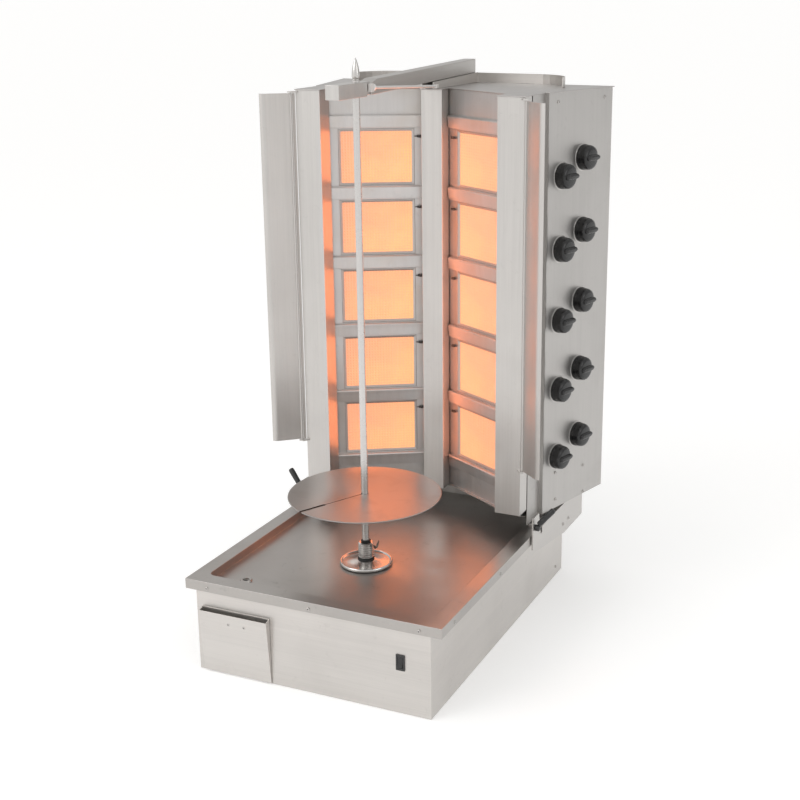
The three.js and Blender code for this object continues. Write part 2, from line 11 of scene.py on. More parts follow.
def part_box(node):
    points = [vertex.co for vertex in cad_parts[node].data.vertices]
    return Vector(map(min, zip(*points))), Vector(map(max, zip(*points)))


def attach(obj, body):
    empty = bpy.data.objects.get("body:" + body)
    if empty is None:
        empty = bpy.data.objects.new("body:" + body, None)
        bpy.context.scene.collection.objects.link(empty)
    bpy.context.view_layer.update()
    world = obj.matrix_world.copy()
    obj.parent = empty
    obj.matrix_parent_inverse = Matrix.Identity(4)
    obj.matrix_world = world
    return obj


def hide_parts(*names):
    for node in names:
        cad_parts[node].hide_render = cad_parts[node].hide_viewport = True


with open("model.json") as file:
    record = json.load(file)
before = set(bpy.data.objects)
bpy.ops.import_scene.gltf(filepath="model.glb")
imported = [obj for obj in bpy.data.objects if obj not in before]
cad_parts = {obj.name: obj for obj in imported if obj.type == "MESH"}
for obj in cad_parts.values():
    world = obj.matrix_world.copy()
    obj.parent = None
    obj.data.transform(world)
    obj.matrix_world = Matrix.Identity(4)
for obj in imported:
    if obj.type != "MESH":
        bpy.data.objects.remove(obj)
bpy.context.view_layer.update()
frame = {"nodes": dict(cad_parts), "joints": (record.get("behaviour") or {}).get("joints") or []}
nodes = frame["nodes"]
joints = {joint["name"]: joint for joint in frame["joints"]}
scene = bpy.context.scene

# ---- Camera and studio ----
# A product studio: a pale seamless floor, a white surround that dims to the back and the control
# side, two broad lamps, a narrow warm one for light that the middle post throws back, and a camera
# that looks down a little from above the machine's height.
camera_data = bpy.data.cameras.new("camera")
camera_data.lens = 59.53
camera_data.sensor_width = 36.0
camera_data.shift_x = -0.0792
camera_data.shift_y = -0.0370
camera_data.clip_end = 900.0
camera = bpy.data.objects.new("camera", camera_data)
camera.location = (1.168, -2.349, 1.300)
camera.rotation_euler = (math.radians(74.02), 0.0, math.radians(23.21))
scene.collection.objects.link(camera)
scene.camera = camera
scene.view_settings.view_transform = "Standard"


def add_node(tree, kind, inputs=None, **settings):
    node = tree.nodes.new(kind)
    for name, value in settings.items():
        setattr(node, name, value)
    for key, value in (inputs or {}).items():
        if isinstance(value, bpy.types.NodeSocket):
            tree.links.new(value, node.inputs[key])
        else:
            node.inputs[key].default_value = value
    return node


def calculate(tree, operation, *values):
    return add_node(tree, "ShaderNodeMath", dict(enumerate(values)), operation=operation).outputs[0]


def mapped(tree, value, low, high, to_low, to_high):
    inputs = {"Value": value, "From Min": low, "From Max": high, "To Min": to_low, "To Max": to_high}
    return add_node(tree, "ShaderNodeMapRange", inputs).outputs["Result"]


def blended(tree, factor, first, second, kind="MIX"):
    mix = add_node(tree, "ShaderNodeMix", {0: factor, 6: first, 7: second}, data_type="RGBA", blend_type=kind)
    return mix.outputs[2]


def new_material(name):
    material = bpy.data.materials.new(name)
    material.use_nodes = True
    tree = material.node_tree
    tree.nodes.clear()
    shader = add_node(tree, "ShaderNodeBsdfPrincipled")
    add_node(tree, "ShaderNodeOutputMaterial", {"Surface": shader.outputs["BSDF"]})
    return material, tree, shader


world = bpy.data.worlds.new("studio")
world.use_nodes = True
scene.world = world
sky = world.node_tree
sky_place = add_node(sky, "ShaderNodeTexCoord").outputs["Generated"]
direction = add_node(sky, "ShaderNodeSeparateXYZ", {0: sky_place})
to_front = mapped(sky, direction.outputs["Y"], -1.0, 1.0, 0.20, -0.22)
to_left = mapped(sky, direction.outputs["X"], -1.0, 1.0, 0.10, -0.17)
overhead = mapped(sky, direction.outputs["Z"], 0.0, 1.0, -0.02, 0.06)
level = calculate(sky, "ADD", calculate(sky, "ADD", to_front, to_left), calculate(sky, "ADD", overhead, 0.86))
sky.links.new(level, sky.nodes["Background"].inputs["Strength"])
sky.nodes["Background"].inputs["Color"].default_value = (1.0, 0.995, 0.985, 1.0)

floor_mesh = bpy.data.meshes.new("floor")
floor_size = 400.0
floor_corners = [(floor_size * x, floor_size * y, 0.0) for x, y in ((-1, -1), (1, -1), (1, 1), (-1, 1))]
floor_mesh.from_pydata(floor_corners, [], [(0, 1, 2, 3)])
floor = bpy.data.objects.new("floor", floor_mesh)
floor.location.z = -0.0005
scene.collection.objects.link(floor)
floor_paint, tree, shader = new_material("pale_floor")
cloud = add_node(tree, "ShaderNodeTexNoise", {"Scale": 0.6, "Detail": 2.0})
shader.inputs["Roughness"].default_value = 0.9
shader.inputs["Specular IOR Level"].default_value = 0.1
pale = blended(tree, cloud.outputs["Fac"], (0.90, 0.90, 0.90, 1), (0.93, 0.93, 0.925, 1))
tree.links.new(pale, shader.inputs["Base Color"])
shader.inputs["Emission Color"].default_value = (1.0, 1.0, 1.0, 1.0)
shader.inputs["Emission Strength"].default_value = 0.22
floor_mesh.materials.append(floor_paint)

for lamp_name, place, aim, width, power in (
        ("front_lamp", (-1.9, -2.6, 2.6), (0.0, 0.0, 0.6), 2.2, 26.0),
        ("right_lamp", (2.8, -0.6, 1.9), (0.2, 0.1, 0.6), 1.6, 9.0)):
    lamp_data = bpy.data.lights.new(lamp_name, "AREA")
    lamp_data.shape = "RECTANGLE"
    lamp_data.size = width
    lamp_data.size_y = width * 0.7
    lamp_data.energy = power
    lamp = bpy.data.objects.new(lamp_name, lamp_data)
    lamp.location = place
    lamp.rotation_euler = (Vector(aim) - Vector(place)).to_track_quat("-Z", "Y").to_euler()
    scene.collection.objects.link(lamp)

glow_data = bpy.data.lights.new("bounce_at_middle_post", "AREA")
glow_data.shape = "RECTANGLE"
glow_data.size = 0.014
glow_data.size_y = 0.74
glow_data.energy = 0.22
glow_data.color = (1.0, 0.30, 0.13)
glow_lamp = bpy.data.objects.new("bounce_at_middle_post", glow_data)
glow_lamp.location = (0.050, 0.208, 0.655)
glow_lamp.rotation_euler = (math.radians(90), 0.0, math.radians(90))
glow_lamp.visible_camera = False
scene.collection.objects.link(glow_lamp)

# ---- Base shell and bottom plate ----
# The base is a box folded from stainless sheet with a satin, belt-brushed face; the grain runs level
# round it. A flat plate of the same sheet, left dull, closes it below.


def object_place(tree):
    return add_node(tree, "ShaderNodeTexCoord").outputs["Object"]


def noise(tree, place, scale, detail, distortion=0.0, roughness=0.5):
    inputs = {"Vector": place, "Scale": scale, "Detail": detail, "Roughness": roughness,
              "Distortion": distortion}
    return add_node(tree, "ShaderNodeTexNoise", inputs).outputs["Fac"]


def start_group(name, inputs, outputs):
    group = bpy.data.node_groups.new(name, "ShaderNodeTree")
    for label, kind, value in inputs:
        socket = group.interface.new_socket(label, in_out="INPUT", socket_type=kind)
        if value is not None:
            socket.default_value = value
    for label, kind in outputs:
        group.interface.new_socket(label, in_out="OUTPUT", socket_type=kind)
    return group, add_node(group, "NodeGroupInput"), add_node(group, "NodeGroupOutput")


grain_group, into, out_of = start_group("brushed_grain", [
    ("Color", "NodeSocketColor", (0.6, 0.6, 0.6, 1.0)),
    ("Roughness", "NodeSocketFloat", 0.35),
    ("Along", "NodeSocketVector", (1.0, 1.0, 1.0)),
    ("Depth", "NodeSocketFloat", 1.0),
    ("Smears", "NodeSocketFloat", 1.0),
], [("Color", "NodeSocketColor"), ("Roughness", "NodeSocketFloat"), ("Normal", "NodeSocketVector")])
spot = object_place(grain_group)
stretched = add_node(grain_group, "ShaderNodeVectorMath", {0: spot, 1: into.outputs["Along"]},
                     operation="MULTIPLY").outputs[0]
fine = noise(grain_group, stretched, 1.0, 3.0, roughness=0.65)
broad = noise(grain_group, stretched, 0.16, 2.0)
smear = noise(grain_group, spot, 5.0, 4.0, 0.6)
speck = noise(grain_group, spot, 55.0, 3.0, 1.2)
streak = calculate(grain_group, "ADD", calculate(grain_group, "SUBTRACT", fine, 0.5),
                   calculate(grain_group, "SUBTRACT", broad, 0.5))
deep_streak = calculate(grain_group, "MULTIPLY", streak, into.outputs["Depth"])
tone = calculate(grain_group, "MULTIPLY_ADD", deep_streak, 0.17, 1.0)
smeared = calculate(grain_group, "MULTIPLY", mapped(grain_group, smear, 0.42, 0.75, 0.0, 1.0),
                    into.outputs["Smears"])
specked = calculate(grain_group, "MULTIPLY", mapped(grain_group, speck, 0.62, 0.80, 0.0, 1.0),
                    into.outputs["Smears"])
dimmed = calculate(grain_group, "SUBTRACT", tone, calculate(grain_group, "MULTIPLY", smeared, 0.05))
dimmed = calculate(grain_group, "SUBTRACT", dimmed, calculate(grain_group, "MULTIPLY", specked, 0.05))
tinted = add_node(grain_group, "ShaderNodeVectorMath", {0: into.outputs["Color"], 1: dimmed},
                  operation="MULTIPLY")
rough = calculate(grain_group, "MULTIPLY_ADD", deep_streak, 0.22, into.outputs["Roughness"])
rough = calculate(grain_group, "ADD", rough, calculate(grain_group, "MULTIPLY", smeared, 0.09))
rough = calculate(grain_group, "ADD", rough, calculate(grain_group, "MULTIPLY", specked, 0.08))
relief = add_node(grain_group, "ShaderNodeBump", {
    "Strength": calculate(grain_group, "MULTIPLY", into.outputs["Depth"], 0.16),
    "Distance": 0.0003, "Height": calculate(grain_group, "ADD", fine, broad)})
grain_group.links.new(tinted.outputs[0], out_of.inputs["Color"])
grain_group.links.new(rough, out_of.inputs["Roughness"])
grain_group.links.new(relief.outputs["Normal"], out_of.inputs["Normal"])

wear_group, into, out_of = start_group("worn_edge", [
    ("Color", "NodeSocketColor", (0.6, 0.6, 0.6, 1.0)),
    ("Edge", "NodeSocketColor", (0.8, 0.8, 0.8, 1.0)),
    ("Width", "NodeSocketFloat", 0.0012),
    ("Amount", "NodeSocketFloat", 0.7),
], [("Color", "NodeSocketColor"), ("Mask", "NodeSocketFloat")])
softened = add_node(wear_group, "ShaderNodeBevel", {"Radius": into.outputs["Width"]}, samples=4)
true_face = add_node(wear_group, "ShaderNodeNewGeometry").outputs["Normal"]
facing = add_node(wear_group, "ShaderNodeVectorMath", {0: softened.outputs["Normal"], 1: true_face},
                  operation="DOT_PRODUCT").outputs["Value"]
edge = mapped(wear_group, facing, 0.995, 0.86, 0.0, 1.0)
patchy = noise(wear_group, object_place(wear_group), 120.0, 3.0)
edge = calculate(wear_group, "MULTIPLY", calculate(wear_group, "MULTIPLY", edge, into.outputs["Amount"]),
                 mapped(wear_group, patchy, 0.3, 0.6, 0.35, 1.0))
bared = blended(wear_group, edge, into.outputs["Color"], into.outputs["Edge"])
wear_group.links.new(bared, out_of.inputs["Color"])
wear_group.links.new(edge, out_of.inputs["Mask"])


def place_group(tree, group, inputs):
    return add_node(tree, "ShaderNodeGroup", inputs, node_tree=group)


level_grain = (9.0, 9.0, 620.0)
upright_grain = (620.0, 620.0, 9.0)
depth_grain = (620.0, 9.0, 620.0)


def brushed_steel(name, color, roughness, along, depth=1.0, smears=1.0, edge=0.12):
    material, tree, shader = new_material(name)
    bright = tuple(min(1.0, part * 1.22 + 0.04) for part in color) + (1.0,)
    grain = place_group(tree, grain_group, {
        "Color": color + (1.0,), "Roughness": roughness, "Along": along, "Depth": depth, "Smears": smears})
    worn = place_group(tree, wear_group, {
        "Color": grain.outputs["Color"], "Edge": bright, "Amount": edge * 5})
    tree.links.new(worn.outputs["Color"], shader.inputs["Base Color"])
    tree.links.new(grain.outputs["Roughness"], shader.inputs["Roughness"])
    tree.links.new(grain.outputs["Normal"], shader.inputs["Normal"])
    shader.inputs["Metallic"].default_value = 0.92
    return material


def dress(name, material, radius=0.0007):
    """Gives a CAD node its material, and rounds its folded and cut edges by a small radius."""
    node = nodes[name]
    if not node.material_slots:
        node.data.materials.append(material)
    node.material_slots[0].material = material
    weld = node.modifiers.new("weld", "WELD")
    weld.merge_threshold = 0.00002
    merge = node.modifiers.new("merge_flats", "DECIMATE")
    merge.decimate_type = "DISSOLVE"
    merge.angle_limit = math.radians(0.6)
    edges = node.modifiers.new("edge_radius", "BEVEL")
    edges.width = radius
    edges.segments = 2
    edges.limit_method = "ANGLE"
    edges.angle_limit = math.radians(34)
    edges.harden_normals = True


satin_level = brushed_steel("satin_level_steel", (0.60, 0.575, 0.55), 0.36, level_grain)
dull_plain = brushed_steel("dull_mill_steel", (0.42, 0.405, 0.39), 0.46, depth_grain, depth=0.6)
dress("base_shell", satin_level, 0.0012)
dress("base_bottom", dull_plain, 0.0003)

# ---- Drip tray and its rim ----
# One pressed stainless tray: a broad rim that laps over the base, and a sunken well with rounded
# corners. Its face is duller than the casing, rubbed in every direction by years of scraping.
rubbed_grain = (150.0, 150.0, 150.0)
tray_steel = brushed_steel("tray_steel", (0.44, 0.42, 0.40), 0.33, rubbed_grain, depth=0.45, smears=1.6)
dress("drip_tray", tray_steel, 0.0011)


def finished_mesh(mesh, name, sharp_degrees):
    """Turns the faces outward, and smooths the skin except at edges sharper than the angle given."""
    bmesh.ops.recalc_face_normals(mesh, faces=mesh.faces)
    data = bpy.data.meshes.new(name)
    mesh.to_mesh(data)
    mesh.free()
    data.shade_smooth()
    data.set_sharp_from_angle(angle=math.radians(sharp_degrees))
    return data


def ring_mesh(name, rings, closed):
    """Joins rings of points, each as long as the next, into one skin; closed caps its two ends."""
    mesh = bmesh.new()
    rows = [[mesh.verts.new(point) for point in ring] for ring in rings]
    count = len(rows[0])
    pairs = list(zip(rows, rows[1:]))
    if not closed:
        pairs.append((rows[-1], rows[0]))
    for lower, upper in pairs:
        for i in range(count):
            j = (i + 1) % count
            mesh.faces.new((lower[i], lower[j], upper[j], upper[i]))
    if closed:
        mesh.faces.new(rows[0])
        mesh.faces.new(rows[-1])
    return finished_mesh(mesh, name, 36)


def turned(name, profile, segments=48, closed=True):
    """A profile of (radius, height) turned on the Z axis; closed caps both of its ends."""
    rings = []
    for radius, height in profile:
        turn = [2 * math.pi * i / segments for i in range(segments)]
        rings.append([(radius * math.cos(a), radius * math.sin(a), height) for a in turn])
    return ring_mesh(name, rings, closed)


def turned_hollow(name, profile, segments=48):
    """A profile that runs back to its start, turned on the Z axis and open along it."""
    return turned(name, profile, segments, closed=False)


def put(name, data, matrix, material, body, slot, *replaced):
    piece = bpy.data.objects.new(name, data)
    if not data.materials:
        data.materials.append(material)
    piece.matrix_world = matrix
    scene.collection.objects.link(piece)
    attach(piece, body)
    if replaced:
        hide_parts(*replaced)
    return piece


def frame_at(origin, z_axis, x_hint=(1.0, 0.0, 0.0)):
    """A place whose Z points along z_axis, and whose X lies as near x_hint as it can."""
    z = Vector(z_axis).normalized()
    x = Vector(x_hint)
    x = (x - z * x.dot(z)).normalized()
    y = z.cross(x)
    matrix = Matrix((x, y, z)).transposed().to_4x4()
    matrix.translation = Vector(origin)
    return matrix


tray_low, tray_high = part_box("drip_tray")
drain_section = [(0.0062, 0.0002), (0.0125, 0.0002), (0.0122, 0.0016), (0.0108, 0.0032),
                 (0.0088, 0.0036), (0.0068, 0.0030)]
drain_place = Matrix.Translation((-0.180, -0.301, 0.1740))
put("drain_collar", turned_hollow("drain_collar", drain_section, 40), drain_place, tray_steel,
    "base", "satin_stainless")

# ---- Screws of the sheet parts ----
# Small pan-head screws with a cross recess, stainless, run in from outside: along the rim's lip, low
# on the base's sides, on the drawer, both side panels and the saddles, and round the back panel.
screw_steel = brushed_steel("screw_steel", (0.50, 0.48, 0.46), 0.30, rubbed_grain, depth=0.5)
# The screws' cross recesses get a near-black painted shade, mottled a little in tone and roughness.
recess_shade_paint, tree, shader = new_material("recess_painted_shade")
recess_mottle = add_node(tree, "ShaderNodeTexNoise", {"Scale": 900.0, "Detail": 2.0}).outputs["Fac"]
recess_color = blended(tree, recess_mottle, (0.012, 0.011, 0.010, 1), (0.045, 0.042, 0.038, 1))
tree.links.new(recess_color, shader.inputs["Base Color"])
tree.links.new(mapped(tree, recess_mottle, 0.0, 1.0, 0.45, 0.75), shader.inputs["Roughness"])


def screw_mesh(name, radius):
    """A domed head with a sunk cross; the head's underside is at zero height."""
    mesh = bmesh.new()
    segments = 24
    profile = [(1.0, 0.0), (1.0, 0.16), (0.93, 0.36), (0.74, 0.52), (0.50, 0.60)]
    rows = []
    for out, up in profile:
        rows.append([mesh.verts.new((radius * out * math.cos(2 * math.pi * i / segments),
                                     radius * out * math.sin(2 * math.pi * i / segments), radius * up))
                     for i in range(segments)])
    for lower, upper in zip(rows, rows[1:]):
        for i in range(segments):
            j = (i + 1) % segments
            mesh.faces.new((lower[i], lower[j], upper[j], upper[i]))
    mesh.faces.new(rows[0])
    rim = rows[-1]
    arm = 0.44 * radius
    half = 0.12 * radius
    star = [(arm, -half), (arm, half), (half, half), (half, arm), (-half, arm), (-half, half),
            (-arm, half), (-arm, -half), (-half, -half), (-half, -arm), (half, -arm), (half, -half)]
    top = [mesh.verts.new((x, y, radius * 0.60)) for x, y in star]
    base = [mesh.verts.new((x * 0.7, y * 0.7, radius * 0.14)) for x, y in star]
    floor_faces = [mesh.faces.new(base)]
    for i in range(12):
        j = (i + 1) % 12
        floor_faces.append(mesh.faces.new((top[i], base[i], base[j], top[j])))
    # The cross's walls and floor take the second material, the painted shade.
    for face in floor_faces:
        face.material_index = 1
    inner = [mesh.edges.get((top[i], top[(i + 1) % 12])) for i in range(12)]
    outer = [mesh.edges.get((rim[i], rim[(i + 1) % segments])) for i in range(segments)]
    bmesh.ops.triangle_fill(mesh, edges=inner + outer, use_beauty=True)
    data = finished_mesh(mesh, name, 30)
    data.materials.append(screw_steel)
    data.materials.append(recess_shade_paint)
    return data


small_screw = screw_mesh("small_screw", 0.0036)
base_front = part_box("base_shell")[0].y
lip_front = tray_low.y
saddle_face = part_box("saddle_right")[1].x
first_knob = Vector(joints["knob_1_turn"]["pos_m"])
second_knob = Vector(joints["knob_2_turn"]["pos_m"])
panel_along = Vector((second_knob.x - first_knob.x, second_knob.y - first_knob.y, 0.0)).normalized()
panel_out = Vector((panel_along.y, -panel_along.x, 0.0))
panel_front = Vector((first_knob.x, first_knob.y, 0.0)) - panel_along * 0.047
lip_screw_height = 0.178
base_side = 0.2535
screws = []
for x in (-0.227, 0.0, 0.231):
    screws.append(("rim_screw", "base", (x, lip_front, lip_screw_height), (0, -1, 0)))
for y in (-0.310, -0.080, 0.150):
    for side in (-1, 1):
        place = (side * tray_high.x, y, lip_screw_height)
        screws.append(("rim_side_screw", "base", place, (side, 0, 0)))
for side in (1, -1):
    screws.append(("base_side_screw", "base", (side * base_side, 0.323, 0.022), (side, 0, 0)))
drawer_lean = math.atan(11.0 / 132.5)
drawer_out = Vector((0.0, -math.cos(drawer_lean), -math.sin(drawer_lean)))
drawer_face = base_front - 0.0006 - 0.0012
for x in (-0.1746, -0.1394):
    z = 0.115
    y = drawer_face - (z - 0.002) * math.tan(drawer_lean)
    screws.append(("drawer_screw", "drawer", (x, y, z), drawer_out))
panel_screw_places = ((0.156, 0.269), (0.0456, 0.283), (0.159, 0.205), (0.0477, 0.220),
                      (0.030, 1.085), (0.205, 1.085))
for along, z in panel_screw_places:
    place = panel_front + panel_along * along
    screws.append(("panel_screw", "carriage", (place.x, place.y, z), tuple(panel_out)))
    screws.append(("panel_screw", "carriage", (-place.x, place.y, z), (-panel_out.x, panel_out.y, 0.0)))
for y, z in ((0.325, 0.146), (0.289, 0.145)):
    screws.append(("saddle_screw", "carriage", (saddle_face, y, z), (1, 0, 0)))
    screws.append(("saddle_screw", "carriage", (-saddle_face, y, z), (-1, 0, 0)))
back_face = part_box("back_panel")[1].y
for x in (-0.305, -0.105, 0.105, 0.305):
    for z in (0.215, 0.640, 1.088):
        screws.append(("back_screw", "carriage", (x, back_face, z), (0, 1, 0)))
for number, (label, body, place, outward) in enumerate(screws):
    spin = Matrix.Rotation(math.radians(37.0 * number), 4, "Z")
    put(f"{label}_{number + 1}", small_screw, frame_at(place, outward, (0.2, 0.3, 1.0)) @ spin,
        screw_steel, body, "satin_stainless")

# ---- Grease drawer ----
# A folded stainless drawer that slides out to the front under the tray; its face leans out at the top
# and stays open there, so that fingers pull it from above. It rides on two dull angle runners.
drawer_steel = brushed_steel("drawer_steel", (0.62, 0.595, 0.57), 0.37, level_grain, depth=0.9)
dress("grease_drawer", drawer_steel, 0.0004)
dress("runner_left", dull_plain, 0.0002)
dress("runner_right", dull_plain, 0.0002)

# ---- Rocker switch ----
# A moulded black rocker in a black bezel, clipped into the front wall from outside. The plastic is a
# fine satin that has gone shiny on its edges.
plastic_group, into, out_of = start_group("moulded_plastic", [
    ("Color", "NodeSocketColor", (0.02, 0.02, 0.021, 1.0)),
    ("Roughness", "NodeSocketFloat", 0.4),
    ("Texture size", "NodeSocketFloat", 1.0),
], [("Color", "NodeSocketColor"), ("Roughness", "NodeSocketFloat"), ("Normal", "NodeSocketVector")])
spot = object_place(plastic_group)
pebble_scale = calculate(plastic_group, "MULTIPLY", into.outputs["Texture size"], 1800.0)
pebble = add_node(plastic_group, "ShaderNodeTexVoronoi",
                  {"Vector": spot, "Scale": pebble_scale}).outputs["Distance"]
dust = noise(plastic_group, spot, 60.0, 5.0, roughness=0.7)
rub = noise(plastic_group, spot, 14.0, 3.0)
dusty = calculate(plastic_group, "MULTIPLY", mapped(plastic_group, dust, 0.5, 0.8, 0.0, 1.0), 0.10)
plastic_group.links.new(blended(plastic_group, dusty, into.outputs["Color"], (0.30, 0.28, 0.26, 1.0)),
                        out_of.inputs["Color"])
plastic_group.links.new(
    calculate(plastic_group, "ADD", into.outputs["Roughness"],
              calculate(plastic_group, "ADD", mapped(plastic_group, rub, 0.3, 0.7, -0.09, 0.07),
                        mapped(plastic_group, dust, 0.4, 0.8, 0.0, 0.12))), out_of.inputs["Roughness"])
pebbled = add_node(plastic_group, "ShaderNodeBump", {"Strength": 0.18, "Distance": 0.0002, "Height": pebble})
plastic_group.links.new(pebbled.outputs["Normal"], out_of.inputs["Normal"])


def moulded_plastic(name, color, roughness, texture_size=1.0, worn=(0.16, 0.155, 0.15)):
    material, tree, shader = new_material(name)
    skin = place_group(tree, plastic_group, {
        "Color": color + (1.0,), "Roughness": roughness, "Texture size": texture_size})
    rubbed = place_group(tree, wear_group, {
        "Color": skin.outputs["Color"], "Edge": worn + (1.0,), "Width": 0.0007, "Amount": 0.55})
    tree.links.new(rubbed.outputs["Color"], shader.inputs["Base Color"])
    tree.links.new(skin.outputs["Roughness"], shader.inputs["Roughness"])
    tree.links.new(skin.outputs["Normal"], shader.inputs["Normal"])
    shader.inputs["Specular IOR Level"].default_value = 0.5
    return material


switch_black = moulded_plastic("switch_black", (0.018, 0.018, 0.019), 0.38)
dress("switch_bezel", switch_black, 0.0005)
dress("switch_rocker", switch_black, 0.0006)

# ---- Drive below the tray ----
# A painted cast gearbox on its feet, a round motor with a terminal box behind it, and a brass bush
# where the shaft comes up through the tray. They show only with the tray or the bottom plate off.
cast_paint, tree, shader = new_material("painted_casting")
spot = object_place(tree)
skin = noise(tree, spot, 260.0, 5.0)
stain = noise(tree, spot, 24.0, 3.0)
painted = blended(tree, mapped(tree, stain, 0.35, 0.7, 0.0, 1.0), (0.10, 0.11, 0.125, 1),
                  (0.055, 0.058, 0.062, 1))
worn = place_group(tree, wear_group, {
    "Color": painted, "Edge": (0.30, 0.29, 0.28, 1), "Width": 0.002, "Amount": 0.6})
tree.links.new(worn.outputs["Color"], shader.inputs["Base Color"])
tree.links.new(mapped(tree, stain, 0.3, 0.7, 0.5, 0.72), shader.inputs["Roughness"])
cast_bump = add_node(tree, "ShaderNodeBump", {"Strength": 0.4, "Distance": 0.0006, "Height": skin})
tree.links.new(cast_bump.outputs["Normal"], shader.inputs["Normal"])
dress("gearbox", cast_paint, 0.0025)
dress("drive_motor", cast_paint, 0.0015)


def machined_metal(name, color, roughness, grain, tarnish):
    material, tree, shader = new_material(name)
    patch = noise(tree, object_place(tree), 40.0, 4.0)
    cut_lines = place_group(tree, grain_group, {
        "Color": color + (1.0,), "Roughness": roughness, "Along": grain, "Depth": 0.9, "Smears": 0.7})
    aged = blended(tree, mapped(tree, patch, 0.45, 0.75, 0.0, 0.6), cut_lines.outputs["Color"],
                   tarnish + (1.0,))
    tree.links.new(aged, shader.inputs["Base Color"])
    tree.links.new(cut_lines.outputs["Roughness"], shader.inputs["Roughness"])
    tree.links.new(cut_lines.outputs["Normal"], shader.inputs["Normal"])
    shader.inputs["Metallic"].default_value = 0.95
    return material


brass = machined_metal("turned_brass", (0.62, 0.46, 0.20), 0.30, level_grain, (0.34, 0.25, 0.13))
dress("shaft_bush", brass, 0.0003)

# ---- Spit: shaft, saucer, coupling and rod ----
# A polished stainless rod stands in a turned coupling on the drive shaft. A spun saucer with a bright
# rolled rim throws fat clear of the bush; two black rings seal the coupling above and below.
spit_x, spit_y, _ = joints["spit_spin"]["pos_m"]
spit_axis = Matrix.Translation((spit_x, spit_y, 0.0))
polished = machined_metal("polished_spit", (0.60, 0.585, 0.57), 0.22, level_grain, (0.46, 0.43, 0.40))
spit_gloss = brushed_steel("spit_rod_steel", (0.62, 0.60, 0.585), 0.24, level_grain, depth=0.5)
dress("drive_shaft", polished, 0.0006)

saucer_profile = [
    (0.0085, 0.1790), (0.0150, 0.1788), (0.0330, 0.1770), (0.0490, 0.1756), (0.0515, 0.1752),
    (0.0534, 0.1762), (0.0540, 0.1780), (0.0536, 0.1802), (0.0522, 0.1817), (0.0506, 0.1814),
    (0.0496, 0.1800), (0.0480, 0.1786), (0.0440, 0.1786), (0.0340, 0.1800), (0.0240, 0.1818),
    (0.0190, 0.1834), (0.0180, 0.1836), (0.0085, 0.1836)]
put("spun_saucer", turned_hollow("spun_saucer", saucer_profile, 96), spit_axis, polished,
    "spit", "spit_steel", "saucer_flange")

ring_rubber = moulded_plastic("ring_rubber", (0.012, 0.012, 0.012), 0.55, 0.8, (0.05, 0.05, 0.05))
coupling_low, coupling_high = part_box("spit_coupling")
ring_low, ring_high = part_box("coupling_ring")


def seal_ring(name, bottom, top, inside, outside, *replaced):
    bead = (top - bottom) * 0.3
    profile = [
        (inside, bottom), (outside - bead, bottom), (outside, bottom + bead), (outside, top - bead),
        (outside - bead, top), (inside, top)]
    put(name, turned_hollow(name, profile, 64), spit_axis, ring_rubber, "spit", "black_plastic", *replaced)


seal_ring("lower_seal_ring", ring_low.z, ring_high.z, 0.0085, 0.0172, "coupling_ring")
seal_ring("upper_seal_ring", coupling_high.z + 0.0002, coupling_high.z + 0.0046, 0.0072, 0.0102)

coupling_radius = 0.0155
groove_depth = 0.0007
coupling_profile = [(0.0084, coupling_low.z), (coupling_radius - 0.0015, coupling_low.z),
                    (coupling_radius, coupling_low.z + 0.0015)]
groove_count = 6
first_groove = coupling_low.z + 0.0040
groove_pitch = (coupling_high.z - 0.0050 - first_groove) / (groove_count - 1)
for groove in range(groove_count):
    z = first_groove + groove * groove_pitch
    coupling_profile += [
        (coupling_radius, z - 0.0008), (coupling_radius - groove_depth, z - 0.0003),
        (coupling_radius - groove_depth, z + 0.0003), (coupling_radius, z + 0.0008)]
socket_floor = coupling_high.z - 0.0200
coupling_profile += [(coupling_radius, coupling_high.z - 0.0022),
                     (coupling_radius - 0.0020, coupling_high.z), (0.0073, coupling_high.z),
                     (0.0073, socket_floor), (0.0084, socket_floor)]
put("turned_coupling", turned_hollow("turned_coupling", coupling_profile, 72), spit_axis, polished,
    "spit", "spit_steel", "spit_coupling")

rod_low, rod_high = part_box("spit_rod")
tip_low, tip_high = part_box("spit_tip")
rod_radius = (rod_high.x - rod_low.x) / 2
rod_profile = [(0.0001, rod_low.z), (rod_radius - 0.0008, rod_low.z), (rod_radius, rod_low.z + 0.0008)]
for step in range(1, 12):
    rod_profile.append((rod_radius, rod_low.z + (rod_high.z - rod_low.z) * step / 12))
rod_profile += [(rod_radius, rod_high.z - 0.0006), (rod_radius - 0.0006, rod_high.z), (0.0001, rod_high.z)]
put("polished_rod", turned("polished_rod", rod_profile, 48), spit_axis, spit_gloss,
    "spit", "spit_steel", "spit_rod")

tip_profile = [(0.0001, 0.0), (0.0062, 0.0), (0.0064, 0.0018), (0.0058, 0.0026), (0.0070, 0.0044)]
point_length = tip_high.z - tip_low.z
for step in range(17):
    part = step / 16
    radius = 0.0074 * (1.0 - part ** 1.9) ** 0.9 + 0.0004
    tip_profile.append((radius, 0.0060 + (point_length - 0.0060) * part))
put("spit_point", turned("spit_point", tip_profile, 48),
    spit_axis @ Matrix.Translation((0.0, 0.0, tip_low.z)), polished, "spit", "spit_steel", "spit_tip")

